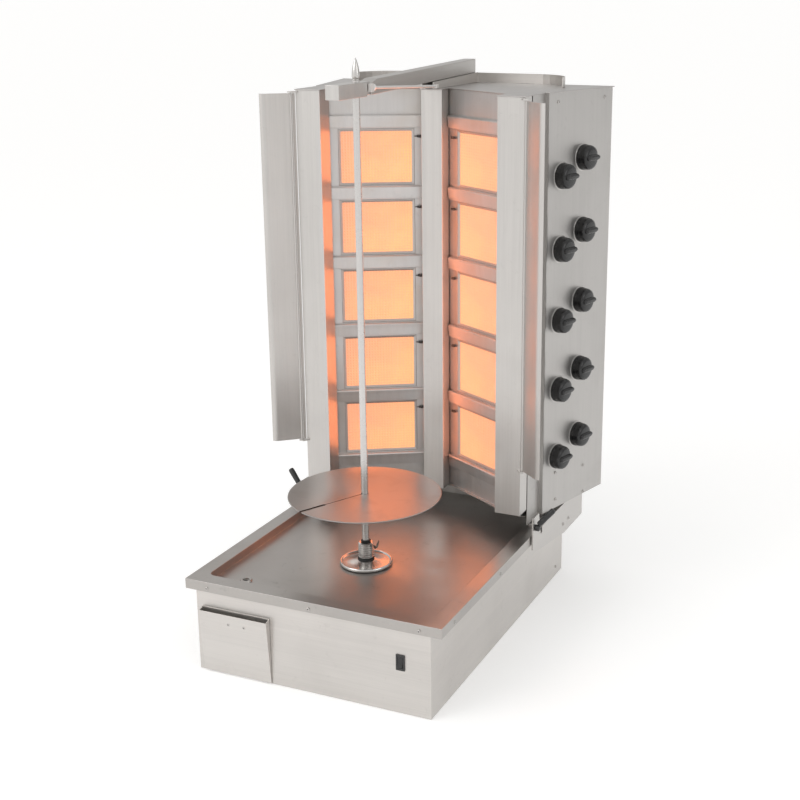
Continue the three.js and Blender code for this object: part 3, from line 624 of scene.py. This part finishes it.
# ---- Thumb screw of the coupling ----
# A small wing screw that clamps the rod in the coupling; its two ears are pressed from the head and
# have gone dark with heat and fat.
screw_start = (spit_x + 0.0082, spit_y, joints["thumb_screw_turn"]["pos_m"][2])
dark_steel = machined_metal("heat_dark_steel", (0.22, 0.19, 0.17), 0.42, rubbed_grain, (0.10, 0.075, 0.06))
shank_profile = [(0.0001, 0.0), (0.0022, 0.0)]
for turn in range(9):
    shank_profile += [(0.0026, 0.0006 + turn * 0.0011), (0.0021, 0.0011 + turn * 0.0011)]
shank_profile += [(0.0026, 0.0108), (0.0046, 0.0112), (0.0046, 0.0160), (0.0036, 0.0178), (0.0001, 0.0180)]
put("wing_screw", turned("wing_screw", shank_profile, 32),
    frame_at(screw_start, (1, 0, 0)), dark_steel, "thumb_screw", "spit_steel", "thumb_screw")
for ear_name, lean in (("wing_screw_ear_a", 1.0), ("wing_screw_ear_b", -1.0)):
    rings = []
    for step in range(9):
        part = step / 8
        reach = 0.0026 + 0.0096 * part
        spread = 0.0030 + 0.0018 * math.sin(math.pi * part ** 0.8)
        thick = 0.0019 - 0.0005 * part
        rise = 0.0030 * part + 0.0040 * part ** 2
        ring = []
        for i in range(12):
            a = 2 * math.pi * i / 12
            out = lean * (reach * 0.92 + spread * 0.25 * math.sin(a))
            ring.append((0.0150 + thick * math.cos(a), out, rise + spread * math.sin(a)))
        rings.append(ring)
    put(ear_name, ring_mesh(ear_name, rings, closed=True), Matrix.Translation(screw_start),
        dark_steel, "thumb_screw", "spit_steel")

# ---- Meat disc ----
# A turned stainless disc that carries the cone, with a rolled edge and a slit from rim to hub so that it
# slips on beside the rod. Fine lathe rings cover it, so that it mirrors the radiants in bright fans.
disc_low, disc_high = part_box("meat_disc")
disc_radius = (disc_high.x - disc_low.x) / 2
disc_top = disc_high.z
disc_under = disc_top - 0.0024
slit_angle = math.atan2(-0.893, -0.449)
slit_half = 0.0010
mouth_half = 0.0034
mouth_from = disc_radius * 0.62
disc_mesh = bmesh.new()
hub = 0.0074
radii = [hub, 0.0150, 0.035, 0.060, mouth_from, mouth_from + 0.003, 0.120, 0.140, disc_radius - 0.0030]
edge_steps = 6
segments = 180


def disc_ring(radius, height):
    """One ring of the disc, left open where the slit runs."""
    half = slit_half if radius <= mouth_from else mouth_half
    gap = math.asin(half / radius)
    sweep = 2 * math.pi - 2 * gap
    return [(radius, slit_angle + gap + sweep * i / segments, height) for i in range(segments + 1)]


disc_rows = [disc_ring(radius, disc_top) for radius in radii]
for step in range(edge_steps + 1):
    turn = math.pi * step / edge_steps
    height = disc_top - 0.0012 + 0.0016 * math.cos(turn)
    disc_rows.append(disc_ring(disc_radius - 0.0016 + 0.0016 * math.sin(turn), min(height, disc_top)))
disc_rows += [disc_ring(radius, disc_under) for radius in reversed(radii)]
rows = [[disc_mesh.verts.new((r * math.cos(a), r * math.sin(a), z)) for r, a, z in row] for row in disc_rows]
loop = list(zip(rows, rows[1:])) + [(rows[-1], rows[0])]
for lower, upper in loop:
    for i in range(segments):
        disc_mesh.faces.new((lower[i], upper[i], upper[i + 1], lower[i + 1]))
total = len(rows)
# The slit's two cut walls take the second material, a near-black painted shade.
for column in (0, segments):
    for i in range(total // 2):
        quad = (rows[i][column], rows[i + 1][column],
                rows[total - 2 - i][column], rows[total - 1 - i][column])
        wall = tuple(dict.fromkeys(quad))
        if len(wall) > 2:
            disc_mesh.faces.new(wall).material_index = 1
disc_data = finished_mesh(disc_mesh, "turned_disc", 36)

disc_steel, tree, shader = new_material("lathe_turned_disc")
spot = object_place(tree)
axes = add_node(tree, "ShaderNodeSeparateXYZ", {0: spot})
radius_squared = calculate(tree, "ADD", calculate(tree, "MULTIPLY", axes.outputs["X"], axes.outputs["X"]),
                           calculate(tree, "MULTIPLY", axes.outputs["Y"], axes.outputs["Y"]))
from_hub = calculate(tree, "SQRT", radius_squared)
ring_place = calculate(tree, "MULTIPLY", from_hub, 900.0)
rings = add_node(tree, "ShaderNodeTexNoise", {"W": ring_place, "Scale": 1.0, "Detail": 3.0},
                 noise_dimensions="1D").outputs["Fac"]
fat_mark = mapped(tree, noise(tree, spot, 16.0, 5.0, 0.5), 0.55, 0.8, 0.0, 1.0)
disc_color = blended(tree, calculate(tree, "MULTIPLY", fat_mark, 0.35), (0.39, 0.365, 0.35, 1),
                     (0.27, 0.22, 0.19, 1))
disc_color = blended(tree, mapped(tree, rings, 0.3, 0.7, 0.0, 0.25), disc_color, (0.33, 0.315, 0.305, 1))
tree.links.new(disc_color, shader.inputs["Base Color"])
disc_rough = calculate(tree, "ADD", mapped(tree, rings, 0.3, 0.7, 0.28, 0.36),
                       calculate(tree, "MULTIPLY", fat_mark, 0.1))
tree.links.new(disc_rough, shader.inputs["Roughness"])
ring_bump = add_node(tree, "ShaderNodeBump", {"Strength": 0.06, "Distance": 0.0002, "Height": rings})
tree.links.new(ring_bump.outputs["Normal"], shader.inputs["Normal"])
tangent = add_node(tree, "ShaderNodeTangent", direction_type="RADIAL", axis="Z")
tree.links.new(tangent.outputs["Tangent"], shader.inputs["Tangent"])
shader.inputs["Metallic"].default_value = 0.95
shader.inputs["Anisotropic"].default_value = 0.65
# Near-black painted shade for the slit's cut walls: the shadow under the disc, seen through the slit.
slit_shade_paint = machined_metal("slit_painted_shade", (0.055, 0.040, 0.034), 0.6, rubbed_grain,
                            (0.035, 0.020, 0.014))
disc_data.materials.append(disc_steel)
disc_data.materials.append(slit_shade_paint)
put("turned_disc", disc_data, spit_axis, disc_steel, "spit", "spit_steel", "meat_disc")

hub_profile = [(0.0074, disc_under - 0.0140), (0.0118, disc_under - 0.0140), (0.0130, disc_under - 0.0128),
               (0.0130, disc_under - 0.0004), (0.0074, disc_under - 0.0004)]
put("disc_hub", turned_hollow("disc_hub", hub_profile, 56), spit_axis, polished, "spit", "spit_steel")

# ---- Burner banks ----
# Two upright stainless plates stand in a V behind the spit. Each has five windows and six folded rails
# across it with a bright top lip; the plate is brushed upright and a little straw-coloured by heat.
bank_turn = math.radians(30.4)
apex_y = 0.2555
bank_steel, tree, shader = new_material("bank_steel")
bank_grain = place_group(tree, grain_group, {
    "Color": (0.58, 0.565, 0.555, 1.0), "Roughness": 0.36, "Along": upright_grain, "Depth": 0.8,
    "Smears": 1.2})
straw = mapped(tree, noise(tree, object_place(tree), 11.0, 4.0, 0.4), 0.48, 0.72, 0.0, 0.26)
heated = blended(tree, straw, bank_grain.outputs["Color"], (0.50, 0.415, 0.33, 1.0))
bank_worn = place_group(tree, wear_group, {
    "Color": heated, "Edge": (0.74, 0.71, 0.68, 1.0), "Amount": 0.7})
tree.links.new(bank_worn.outputs["Color"], shader.inputs["Base Color"])
tree.links.new(bank_grain.outputs["Roughness"], shader.inputs["Roughness"])
tree.links.new(bank_grain.outputs["Normal"], shader.inputs["Normal"])
shader.inputs["Metallic"].default_value = 0.92
dress("bank_front_left", bank_steel, 0.0006)
dress("bank_front_right", bank_steel, 0.0006)

# ---- Radiants ----
# Ten gas radiants: a dark cast casing behind the plate, and in its mouth a perforated ceramic tile that
# glows orange, hotter towards the middle post, behind a pressed bezel and a woven heat-proof wire screen.
burner_casing = machined_metal("burner_casing", (0.20, 0.18, 0.165), 0.55, rubbed_grain,
                               (0.13, 0.09, 0.065))
window_half_width = 0.081
window_centre = 0.139
window_half_height = 0.060
tile_half_width = 0.0760
tile_half_height = 0.0548
tile_face = 0.0034
tile_back = 0.0048
cell_size = 0.0060


def tile_mesh(name):
    """A plaque whose face is pressed with a square grid of shallow pits."""
    mesh = bmesh.new()
    columns = round(2 * tile_half_width / cell_size)
    rows = round(2 * tile_half_height / cell_size)
    xs = [-tile_half_width + 2 * tile_half_width * i / columns for i in range(columns + 1)]
    zs = [-tile_half_height + 2 * tile_half_height * i / rows for i in range(rows + 1)]
    front = [[mesh.verts.new((x, tile_face, z)) for x in xs] for z in zs]
    for row in range(rows):
        for column in range(columns):
            corners = (front[row][column], front[row][column + 1],
                       front[row + 1][column + 1], front[row + 1][column])
            middle = ((xs[column] + xs[column + 1]) / 2, tile_face + 0.0009, (zs[row] + zs[row + 1]) / 2)
            pit = mesh.verts.new(middle)
            for i in range(4):
                mesh.faces.new((corners[i], corners[(i + 1) % 4], pit))
    back = [mesh.verts.new((x, tile_back, z)) for x, z in (
        (-tile_half_width, -tile_half_height), (tile_half_width, -tile_half_height),
        (tile_half_width, tile_half_height), (-tile_half_width, tile_half_height))]
    mesh.faces.new(back)
    sides = [
        (front[0], back[0], back[1]), (list(reversed(front[-1])), back[2], back[3]),
        ([r[-1] for r in front], back[1], back[2]), (list(reversed([r[0] for r in front])), back[3], back[0])]
    for edge_row, start, end in sides:
        mesh.faces.new(list(edge_row) + [end, start])
    bmesh.ops.recalc_face_normals(mesh, faces=mesh.faces)
    data = bpy.data.meshes.new(name)
    mesh.to_mesh(data)
    mesh.free()
    return data


def glowing_tile(name, toward_post):
    """Ceramic that glows: orange at the outer and upper side, yellow by the post and low down."""
    material, tree, shader = new_material(name)
    spot = object_place(tree)
    axes = add_node(tree, "ShaderNodeSeparateXYZ", {0: spot})
    reach = tile_half_width * toward_post
    across = mapped(tree, axes.outputs["X"], -reach, reach, -0.05, 0.62)
    down = mapped(tree, axes.outputs["Z"], tile_half_height, -tile_half_height, 0.0, 0.35)
    drift = mapped(tree, noise(tree, spot, 22.0, 3.0), 0.3, 0.7, -0.22, 0.22)
    heat = calculate(tree, "ADD", calculate(tree, "ADD", across, down), drift)
    ramp = add_node(tree, "ShaderNodeValToRGB", {"Fac": heat})
    ramp.color_ramp.elements[0].color = (0.96, 0.32, 0.17, 1.0)
    ramp.color_ramp.elements[1].color = (1.0, 0.57, 0.17, 1.0)
    middle = ramp.color_ramp.elements.new(0.45)
    middle.color = (1.0, 0.42, 0.17, 1.0)
    turns = 2 * math.pi / 0.0030
    wave_x = calculate(tree, "SINE", calculate(tree, "MULTIPLY", axes.outputs["X"], turns))
    wave_z = calculate(tree, "SINE", calculate(tree, "MULTIPLY", axes.outputs["Z"], turns))
    holes = mapped(tree, calculate(tree, "MULTIPLY", wave_x, wave_z), 0.05, 0.55, 0.0, 1.0)
    pit_turns = 2 * math.pi / cell_size
    pit_x = calculate(tree, "COSINE", calculate(tree, "MULTIPLY", axes.outputs["X"], pit_turns))
    pit_z = calculate(tree, "COSINE", calculate(tree, "MULTIPLY", axes.outputs["Z"], pit_turns))
    pits = mapped(tree, calculate(tree, "MULTIPLY", pit_x, pit_z), -0.4, 0.9, 0.0, 0.34)
    glow = blended(tree, calculate(tree, "MULTIPLY", holes, 0.55), ramp.outputs["Color"],
                   (0.66, 0.17, 0.06, 1.0))
    glow = blended(tree, pits, glow, (1.0, 0.80, 0.46, 1.0))
    seen = add_node(tree, "ShaderNodeLightPath").outputs["Is Camera Ray"]
    tree.links.new(blended(tree, seen, (1.0, 0.27, 0.105, 1.0), glow), shader.inputs["Emission Color"])
    tree.links.new(mapped(tree, seen, 0.0, 1.0, 2.9, 0.89), shader.inputs["Emission Strength"])
    ceramic = blended(tree, holes, (0.45, 0.32, 0.24, 1.0), (0.10, 0.05, 0.03, 1.0))
    tree.links.new(ceramic, shader.inputs["Base Color"])
    shader.inputs["Roughness"].default_value = 0.9
    shader.inputs["Specular IOR Level"].default_value = 0.1
    hole_bump = add_node(tree, "ShaderNodeBump", {"Strength": 0.5, "Distance": 0.0005, "Height": holes},
                         invert=True)
    tree.links.new(hole_bump.outputs["Normal"], shader.inputs["Normal"])
    return material


def rounded_loop(half_width, half_height, radius, y):
    points = []
    for corner, (sx, sz) in enumerate(((1, 1), (-1, 1), (-1, -1), (1, -1))):
        for step in range(5):
            a = math.pi / 2 * (corner + step / 4)
            points.append((sx * (half_width - radius) + radius * math.cos(a), y,
                           sz * (half_height - radius) + radius * math.sin(a)))
    return points


def bezel_mesh(name):
    """A pressed frame: it stands proud round the window and dips to hold the tile's edge."""
    section = [(0.0003, 0.0022), (0.0003, 0.0002), (0.0010, -0.0001), (0.0022, 0.0002), (0.0040, 0.0014),
               (0.0058, 0.0021), (0.0060, 0.0026), (0.0044, 0.0028), (0.0034, 0.0022)]
    corner_radius = 0.0016
    loops = [rounded_loop(window_half_width - inset, window_half_height - inset, corner_radius, y)
             for inset, y in section]
    return ring_mesh(name, loops, closed=False)


def add_bar(mesh, start, end, radius, sides=6):
    """A straight wire with flat ends, added to a mesh that is being built."""
    along = (Vector(end) - Vector(start)).normalized()
    first = along.orthogonal().normalized()
    second = along.cross(first)
    ends = []
    for point in (Vector(start), Vector(end)):
        ring = [mesh.verts.new(point + radius * (math.cos(a) * first + math.sin(a) * second))
                for a in (2 * math.pi * i / sides for i in range(sides))]
        ends.append(ring)
    for i in range(sides):
        j = (i + 1) % sides
        mesh.faces.new((ends[0][i], ends[0][j], ends[1][j], ends[1][i]))
    mesh.faces.new(ends[0])
    mesh.faces.new(ends[1])


def screen_mesh(name):
    """Upright and level wires in two layers, ends held under the bezel."""
    mesh = bmesh.new()
    wire = 0.00048
    columns = round(2 * tile_half_width / cell_size)
    rows = round(2 * tile_half_height / cell_size)
    for i in range(1, columns):
        x = -tile_half_width + 2 * tile_half_width * i / columns
        add_bar(mesh, (x, 0.0006, -0.0560), (x, 0.0006, 0.0560), wire)
    for i in range(1, rows):
        z = -tile_half_height + 2 * tile_half_height * i / rows
        add_bar(mesh, (-0.0772, 0.0016, z), (0.0772, 0.0016, z), wire)
    return finished_mesh(mesh, name, 70)


screen_wire, tree, shader = new_material("hot_screen_wire")
scale_mark = noise(tree, object_place(tree), 300.0, 3.0)
wire_color = blended(tree, scale_mark, (0.42, 0.33, 0.27, 1), (0.70, 0.60, 0.52, 1))
tree.links.new(wire_color, shader.inputs["Base Color"])
tree.links.new(mapped(tree, scale_mark, 0.3, 0.7, 0.35, 0.6), shader.inputs["Roughness"])
shader.inputs["Metallic"].default_value = 0.8
wire_glow = blended(tree, scale_mark, (0.60, 0.20, 0.09, 1), (1.0, 0.50, 0.30, 1))
tree.links.new(wire_glow, shader.inputs["Emission Color"])
shader.inputs["Emission Strength"].default_value = 0.45
bezel_steel = brushed_steel("bezel_steel", (0.46, 0.44, 0.425), 0.34, rubbed_grain, depth=0.5, smears=1.4)
probe_ceramic = moulded_plastic("fired_probe", (0.035, 0.030, 0.028), 0.5, 0.6, (0.20, 0.18, 0.16))

tile_data = {-1: tile_mesh("tile_left"), 1: tile_mesh("tile_right")}
tile_data[-1].materials.append(glowing_tile("glowing_tile_left", 1))
tile_data[1].materials.append(glowing_tile("glowing_tile_right", -1))
bezel_data = bezel_mesh("window_bezel")
screen_data = screen_mesh("wire_screen")
probe_data = turned("ignition_probe", [
    (0.0001, 0.0), (0.0024, 0.0), (0.0031, 0.0006), (0.0031, 0.0060), (0.0023, 0.0068), (0.0023, 0.0096),
    (0.0009, 0.0102), (0.0009, 0.0142), (0.0001, 0.0146)], 20)
bracket_section = ((0.0, -0.0002), (0.0050, -0.0002), (0.0050, -0.0010), (0.0012, -0.0010),
                   (0.0012, -0.0058), (0.0, -0.0058))
bracket_data = {side: ring_mesh(f"probe_bracket_{side}", [
    [(side * x, y, z) for x, y in bracket_section] for z in (-0.0032, 0.0032)], closed=True)
    for side in (-1, 1)}
first_burner_z = 0.357
burner_pitch = 0.151
probe_above_centre = 0.043
for side, side_name in ((-1, "left"), (1, "right")):
    bank = Matrix.Translation((0.0, apex_y, 0.0)) @ Matrix.Rotation(-side * bank_turn, 4, "Z")
    for row in range(5):
        label = f"{side_name}_{row + 1}"
        z = first_burner_z + row * burner_pitch
        dress(f"burner_{label}", burner_casing, 0.0008)
        centre = bank @ Matrix.Translation((side * window_centre, 0.0, z))
        put(f"radiant_tile_{label}", tile_data[side], centre, None, "carriage", "radiant_ceramic")
        put(f"window_bezel_{label}", bezel_data, centre, bezel_steel, "carriage", "satin_stainless")
        put(f"wire_screen_{label}", screen_data, centre, screen_wire, "carriage", "dull_stainless")
        foot = bank @ Matrix.Translation((side * 0.0435, -0.0046, z + probe_above_centre))
        outward = bank.to_3x3() @ Vector((side, 0.12, 0.0))
        put(f"ignition_probe_{label}", probe_data, frame_at(foot.translation, outward, (0, 0, 1)),
            probe_ceramic, "carriage", "black_plastic")
        bracket_place = bank @ Matrix.Translation((side * 0.0475, 0.0, z + probe_above_centre))
        put(f"probe_bracket_{label}", bracket_data[side], bracket_place, bezel_steel,
            "carriage", "satin_stainless")

# ---- Housing: posts, floor, side panels, back and roof ----
# Folded stainless sheet, brushed upright on the posts and panels. The centre post covers the joint of
# the banks; the outer posts carry the wing hinges; the roof and floor plates tie everything together.
post_steel = brushed_steel("post_steel", (0.57, 0.55, 0.53), 0.33, upright_grain, depth=0.9)
panel_steel = brushed_steel("panel_steel", (0.49, 0.475, 0.46), 0.37, upright_grain, depth=0.9)
for name in ("post_centre", "post_left", "post_right"):
    dress(name, post_steel, 0.0010)
for name in ("side_panel_left", "control_panel", "back_panel"):
    dress(name, panel_steel, 0.0005)
roof_steel = brushed_steel("roof_steel", (0.48, 0.46, 0.445), 0.37, depth_grain)
dress("roof", roof_steel, 0.0006)
dress("roof_rail", satin_level, 0.0006)
dress("housing_floor", dull_plain, 0.0004)
dress("gas_rail", brass, 0.0004)


def louvre_mesh(name, length):
    """A pressed hood: it grows out of the sheet above its slot and opens downward."""
    section = [(0.0, 0.0088), (0.0006, 0.0092), (0.0020, 0.0074), (0.0028, 0.0048), (0.0030, 0.0016),
               (0.0024, 0.0012), (0.0021, 0.0046), (0.0014, 0.0068), (0.0, 0.0080)]
    rings = []
    for step in range(13):
        part = step / 12
        x = length * (part - 0.5)
        from_end = min(part, 1 - part)
        swell = math.sin(math.pi * from_end * 5.0 / 2) if from_end < 0.2 else 1.0
        rings.append([(x, out * max(swell, 0.05), up) for out, up in section])
    return ring_mesh(name, rings, closed=True)


louvre_data = louvre_mesh("pressed_louvre", 0.172)
first_louvre_z = 0.8795
louvre_pitch = 0.018
for row in range(8):
    for column, x in ((1, -0.110), (2, 0.110)):
        louvre_place = Matrix.Translation((x, back_face, first_louvre_z + row * louvre_pitch))
        put(f"louvre_{column}_{row + 1}", louvre_data, louvre_place, panel_steel,
            "carriage", "satin_stainless")

# ---- Control knobs ----
# Ten moulded black gas knobs in two staggered columns: a round skirt, a stout body, and a grip bar whose
# nose points at the setting. A thin pressed ring seats each one on the panel.
knob_black = moulded_plastic("knob_black", (0.008, 0.008, 0.0085), 0.24, 0.9, (0.07, 0.07, 0.07))
knob_body = turned("knob_body", [
    (0.0001, 0.0010), (0.0258, 0.0010), (0.0268, 0.0016), (0.0270, 0.0050), (0.0266, 0.0072),
    (0.0261, 0.0080), (0.0260, 0.0096), (0.0257, 0.0150), (0.0249, 0.0196), (0.0234, 0.0224),
    (0.0208, 0.0242), (0.0170, 0.0250), (0.0001, 0.0252)], 72)
grip_half = [(0.0276, 0.0), (0.0266, 0.0026), (0.0232, 0.0052), (0.0180, 0.0068), (0.0110, 0.0074),
             (0.0, 0.0075), (-0.0110, 0.0074), (-0.0170, 0.0068), (-0.0204, 0.0050),
             (-0.0218, 0.0026), (-0.0222, 0.0)]
grip_outline = grip_half + [(x, -y) for x, y in reversed(grip_half[1:-1])]
grip_levels = [(0.0100, 0.99, 1.0), (0.0180, 0.97, 0.97), (0.0246, 0.94, 0.92), (0.0276, 0.90, 0.82),
               (0.0292, 0.84, 0.66), (0.0300, 0.74, 0.42)]
grip_data = ring_mesh("knob_grip", [
    [(x * along_scale, y * width_scale, height) for x, y in grip_outline]
    for height, along_scale, width_scale in grip_levels], closed=True)
seat_ring = turned_hollow("knob_seat_ring", [
    (0.0060, 0.0001), (0.0284, 0.0001), (0.0290, 0.0004), (0.0284, 0.0008), (0.0060, 0.0008)], 64)
for number in range(1, 11):
    seat = frame_at(joints[f"knob_{number}_turn"]["pos_m"], panel_out, tuple(panel_along))
    body = f"knob_{number}"
    put(f"knob_body_{number}", knob_body, seat, knob_black, body, "black_plastic", body)
    put(f"knob_grip_{number}", grip_data, seat, knob_black, body, "black_plastic")
    put(f"knob_seat_ring_{number}", seat_ring, seat, post_steel, "carriage", "satin_stainless")

# ---- Side wings ----
# Tall stainless leaves that swing on knuckled pins and throw the heat back on the meat; each has a
# bent free edge. A narrow strip along the outer post holds the fixed half of each hinge.
wing_steel = brushed_steel("wing_steel", (0.56, 0.54, 0.52), 0.34, upright_grain, depth=0.9)
wing_gauge = 0.0015


def wing_leaf(name, side, bottom, top):
    """A sheet that runs from the pin to a bend, and on to a narrow lip along its free edge."""
    bend = Vector((0.0430, -0.0375))
    edge = Vector((0.0520, -0.0388))
    first = bend.normalized()
    second = (edge - bend).normalized()
    outer = [first * 0.0018]
    outer += [bend * 0.35, bend * 0.70]
    for step in range(5):
        part = step / 4
        outer.append(bend + first * (-0.004 * (1 - part) ** 2) + second * (0.004 * part ** 2))
    outer += [edge - second * 0.0012, edge]
    across = [Vector((-first.y, first.x))] * 4 + [Vector((-second.y, second.x))] * (len(outer) - 4)
    inner = [point + normal * wing_gauge for point, normal in zip(outer, across)]
    outline = outer + list(reversed(inner))
    rings = []
    for step in range(25):
        height = bottom + (top - bottom) * step / 24
        rings.append([(side * point.x, point.y, height) for point in outline])
    return ring_mesh(name, rings, closed=True)


for side, side_name in ((-1, "left"), (1, "right")):
    pin = Vector(joints[f"wing_{side_name}_swing"]["pos_m"])
    leaf_low, leaf_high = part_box(f"wing_{side_name}")
    bottom = leaf_low.z + 0.004
    top = leaf_high.z - 0.004
    body = f"wing_{side_name}"
    hinge = Matrix.Translation((pin.x, pin.y, 0.0))
    put(f"wing_leaf_{side_name}", wing_leaf(f"wing_leaf_{side_name}", side, bottom, top), hinge, wing_steel,
        body, "satin_stainless", body)
    pin_profile = [(0.0001, bottom - 0.004), (0.0021, bottom - 0.004), (0.0023, bottom - 0.0036),
                   (0.0023, bottom)]
    knuckle_count = 12
    pitch = (top - bottom) / knuckle_count
    for knuckle in range(knuckle_count):
        start = bottom + knuckle * pitch
        pin_profile += [(0.0024, start), (0.0027, start + 0.0004), (0.0027, start + pitch - 0.0004),
                        (0.0024, start + pitch - 0.0001)]
    pin_profile += [(0.0023, top), (0.0023, top + 0.0036), (0.0021, top + 0.004), (0.0001, top + 0.004)]
    put(f"wing_pin_{side_name}", turned(f"wing_pin_{side_name}", pin_profile, 24), hinge, wing_steel,
        body, "satin_stainless")
    fixed = [(-0.0064, 0.0080), (-0.0036, 0.0036), (-0.0028, 0.0014), (-0.0022, 0.0022), (-0.0028, 0.0040),
             (-0.0056, 0.0086)]
    strip = [[(side * x, y, bottom + (top - bottom) * step / 12) for x, y in fixed] for step in range(13)]
    put(f"hinge_strip_{side_name}", ring_mesh(f"hinge_strip_{side_name}", strip, closed=True), hinge,
        post_steel, "carriage", "satin_stainless")

# ---- Saddles and clamp levers ----
# Thick cheek plates with an angle leg carry the housing on the tray's rim. A cam lever with a black
# grip on each side locks the housing where it stands.
saddle_steel = brushed_steel("saddle_steel", (0.55, 0.53, 0.51), 0.36, level_grain, depth=0.8)
dress("saddle_left", saddle_steel, 0.0006)
dress("saddle_right", saddle_steel, 0.0006)
grip_black = moulded_plastic("lever_grip_black", (0.016, 0.016, 0.0165), 0.34, 0.8, (0.12, 0.115, 0.11))
for side, side_name in ((-1, "left"), (1, "right")):
    body = f"clamp_{side_name}"
    node = f"clamp_lever_{side_name}"
    pivot = Vector(joints[f"clamp_{side_name}_turn"]["pos_m"])
    pivot.x = side * (saddle_face + 0.0003)
    hub_data = turned(f"lever_hub_{side_name}", [
        (0.0001, -0.0070), (0.0034, -0.0070), (0.0036, -0.0066), (0.0036, 0.0), (0.0066, 0.0),
        (0.0070, 0.0006), (0.0070, 0.0084), (0.0062, 0.0098), (0.0040, 0.0108), (0.0001, 0.0110)], 40)
    put(f"lever_hub_{side_name}", hub_data, frame_at(pivot, (side, 0, 0), (0, 0, 1)),
        grip_black, body, "black_plastic", node)
    grip_from = pivot + Vector((side * 0.0070, 0.0020, 0.0070))
    grip_to = pivot + Vector((side * 0.0370, 0.0110, 0.0415))
    length = (grip_to - grip_from).length
    grip_profile = [(0.0001, 0.0), (0.0046, 0.0), (0.0058, 0.0012), (0.0060, 0.0050), (0.0060, length * 0.3),
                    (0.0063, length * 0.7), (0.0063, length - 0.0040), (0.0056, length - 0.0012),
                    (0.0040, length), (0.0001, length + 0.0002)]
    put(f"lever_grip_{side_name}", turned(f"lever_grip_{side_name}", grip_profile, 40),
        frame_at(grip_from, grip_to - grip_from, (0, 1, 0)), grip_black, body, "black_plastic")

# ---- Top arm ----
# A stainless head with a bore that steadies the top of the spit, on a dull box bar that slides over the
# roof between two guides; a thin straight rod with a nut runs beside the bar, from a clip to a foot.
arm_steel = brushed_steel("arm_steel", (0.50, 0.48, 0.46), 0.35, depth_grain, depth=0.8)
dress("arm_head", post_steel, 0.0008)
dress("arm_bar", arm_steel, 0.0012)
# The rod's steel is lightened almost to white, a painted highlight for the bright line the rod makes; its
# roughness stays high.
stay_painted_highlight_steel = brushed_steel("stay_painted_highlight_steel", (0.80, 0.785, 0.77), 0.45, depth_grain, depth=0.3)
dress("stay_rod", stay_painted_highlight_steel, 0.0004)
stay_low, stay_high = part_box("stay_rod")
nut_x = (stay_low.x + stay_high.x) / 2
put("stay_nut", turned_hollow("stay_nut", [
    (0.0030, 0.0), (0.0058, 0.0), (0.0066, 0.0006), (0.0066, 0.0044), (0.0058, 0.0050), (0.0030, 0.0050)], 6),
    frame_at((nut_x, stay_low.y + 0.0122, 1.1278), (0.0, 1.0, 0.0)), stay_painted_highlight_steel, "arm", "spit_steel")
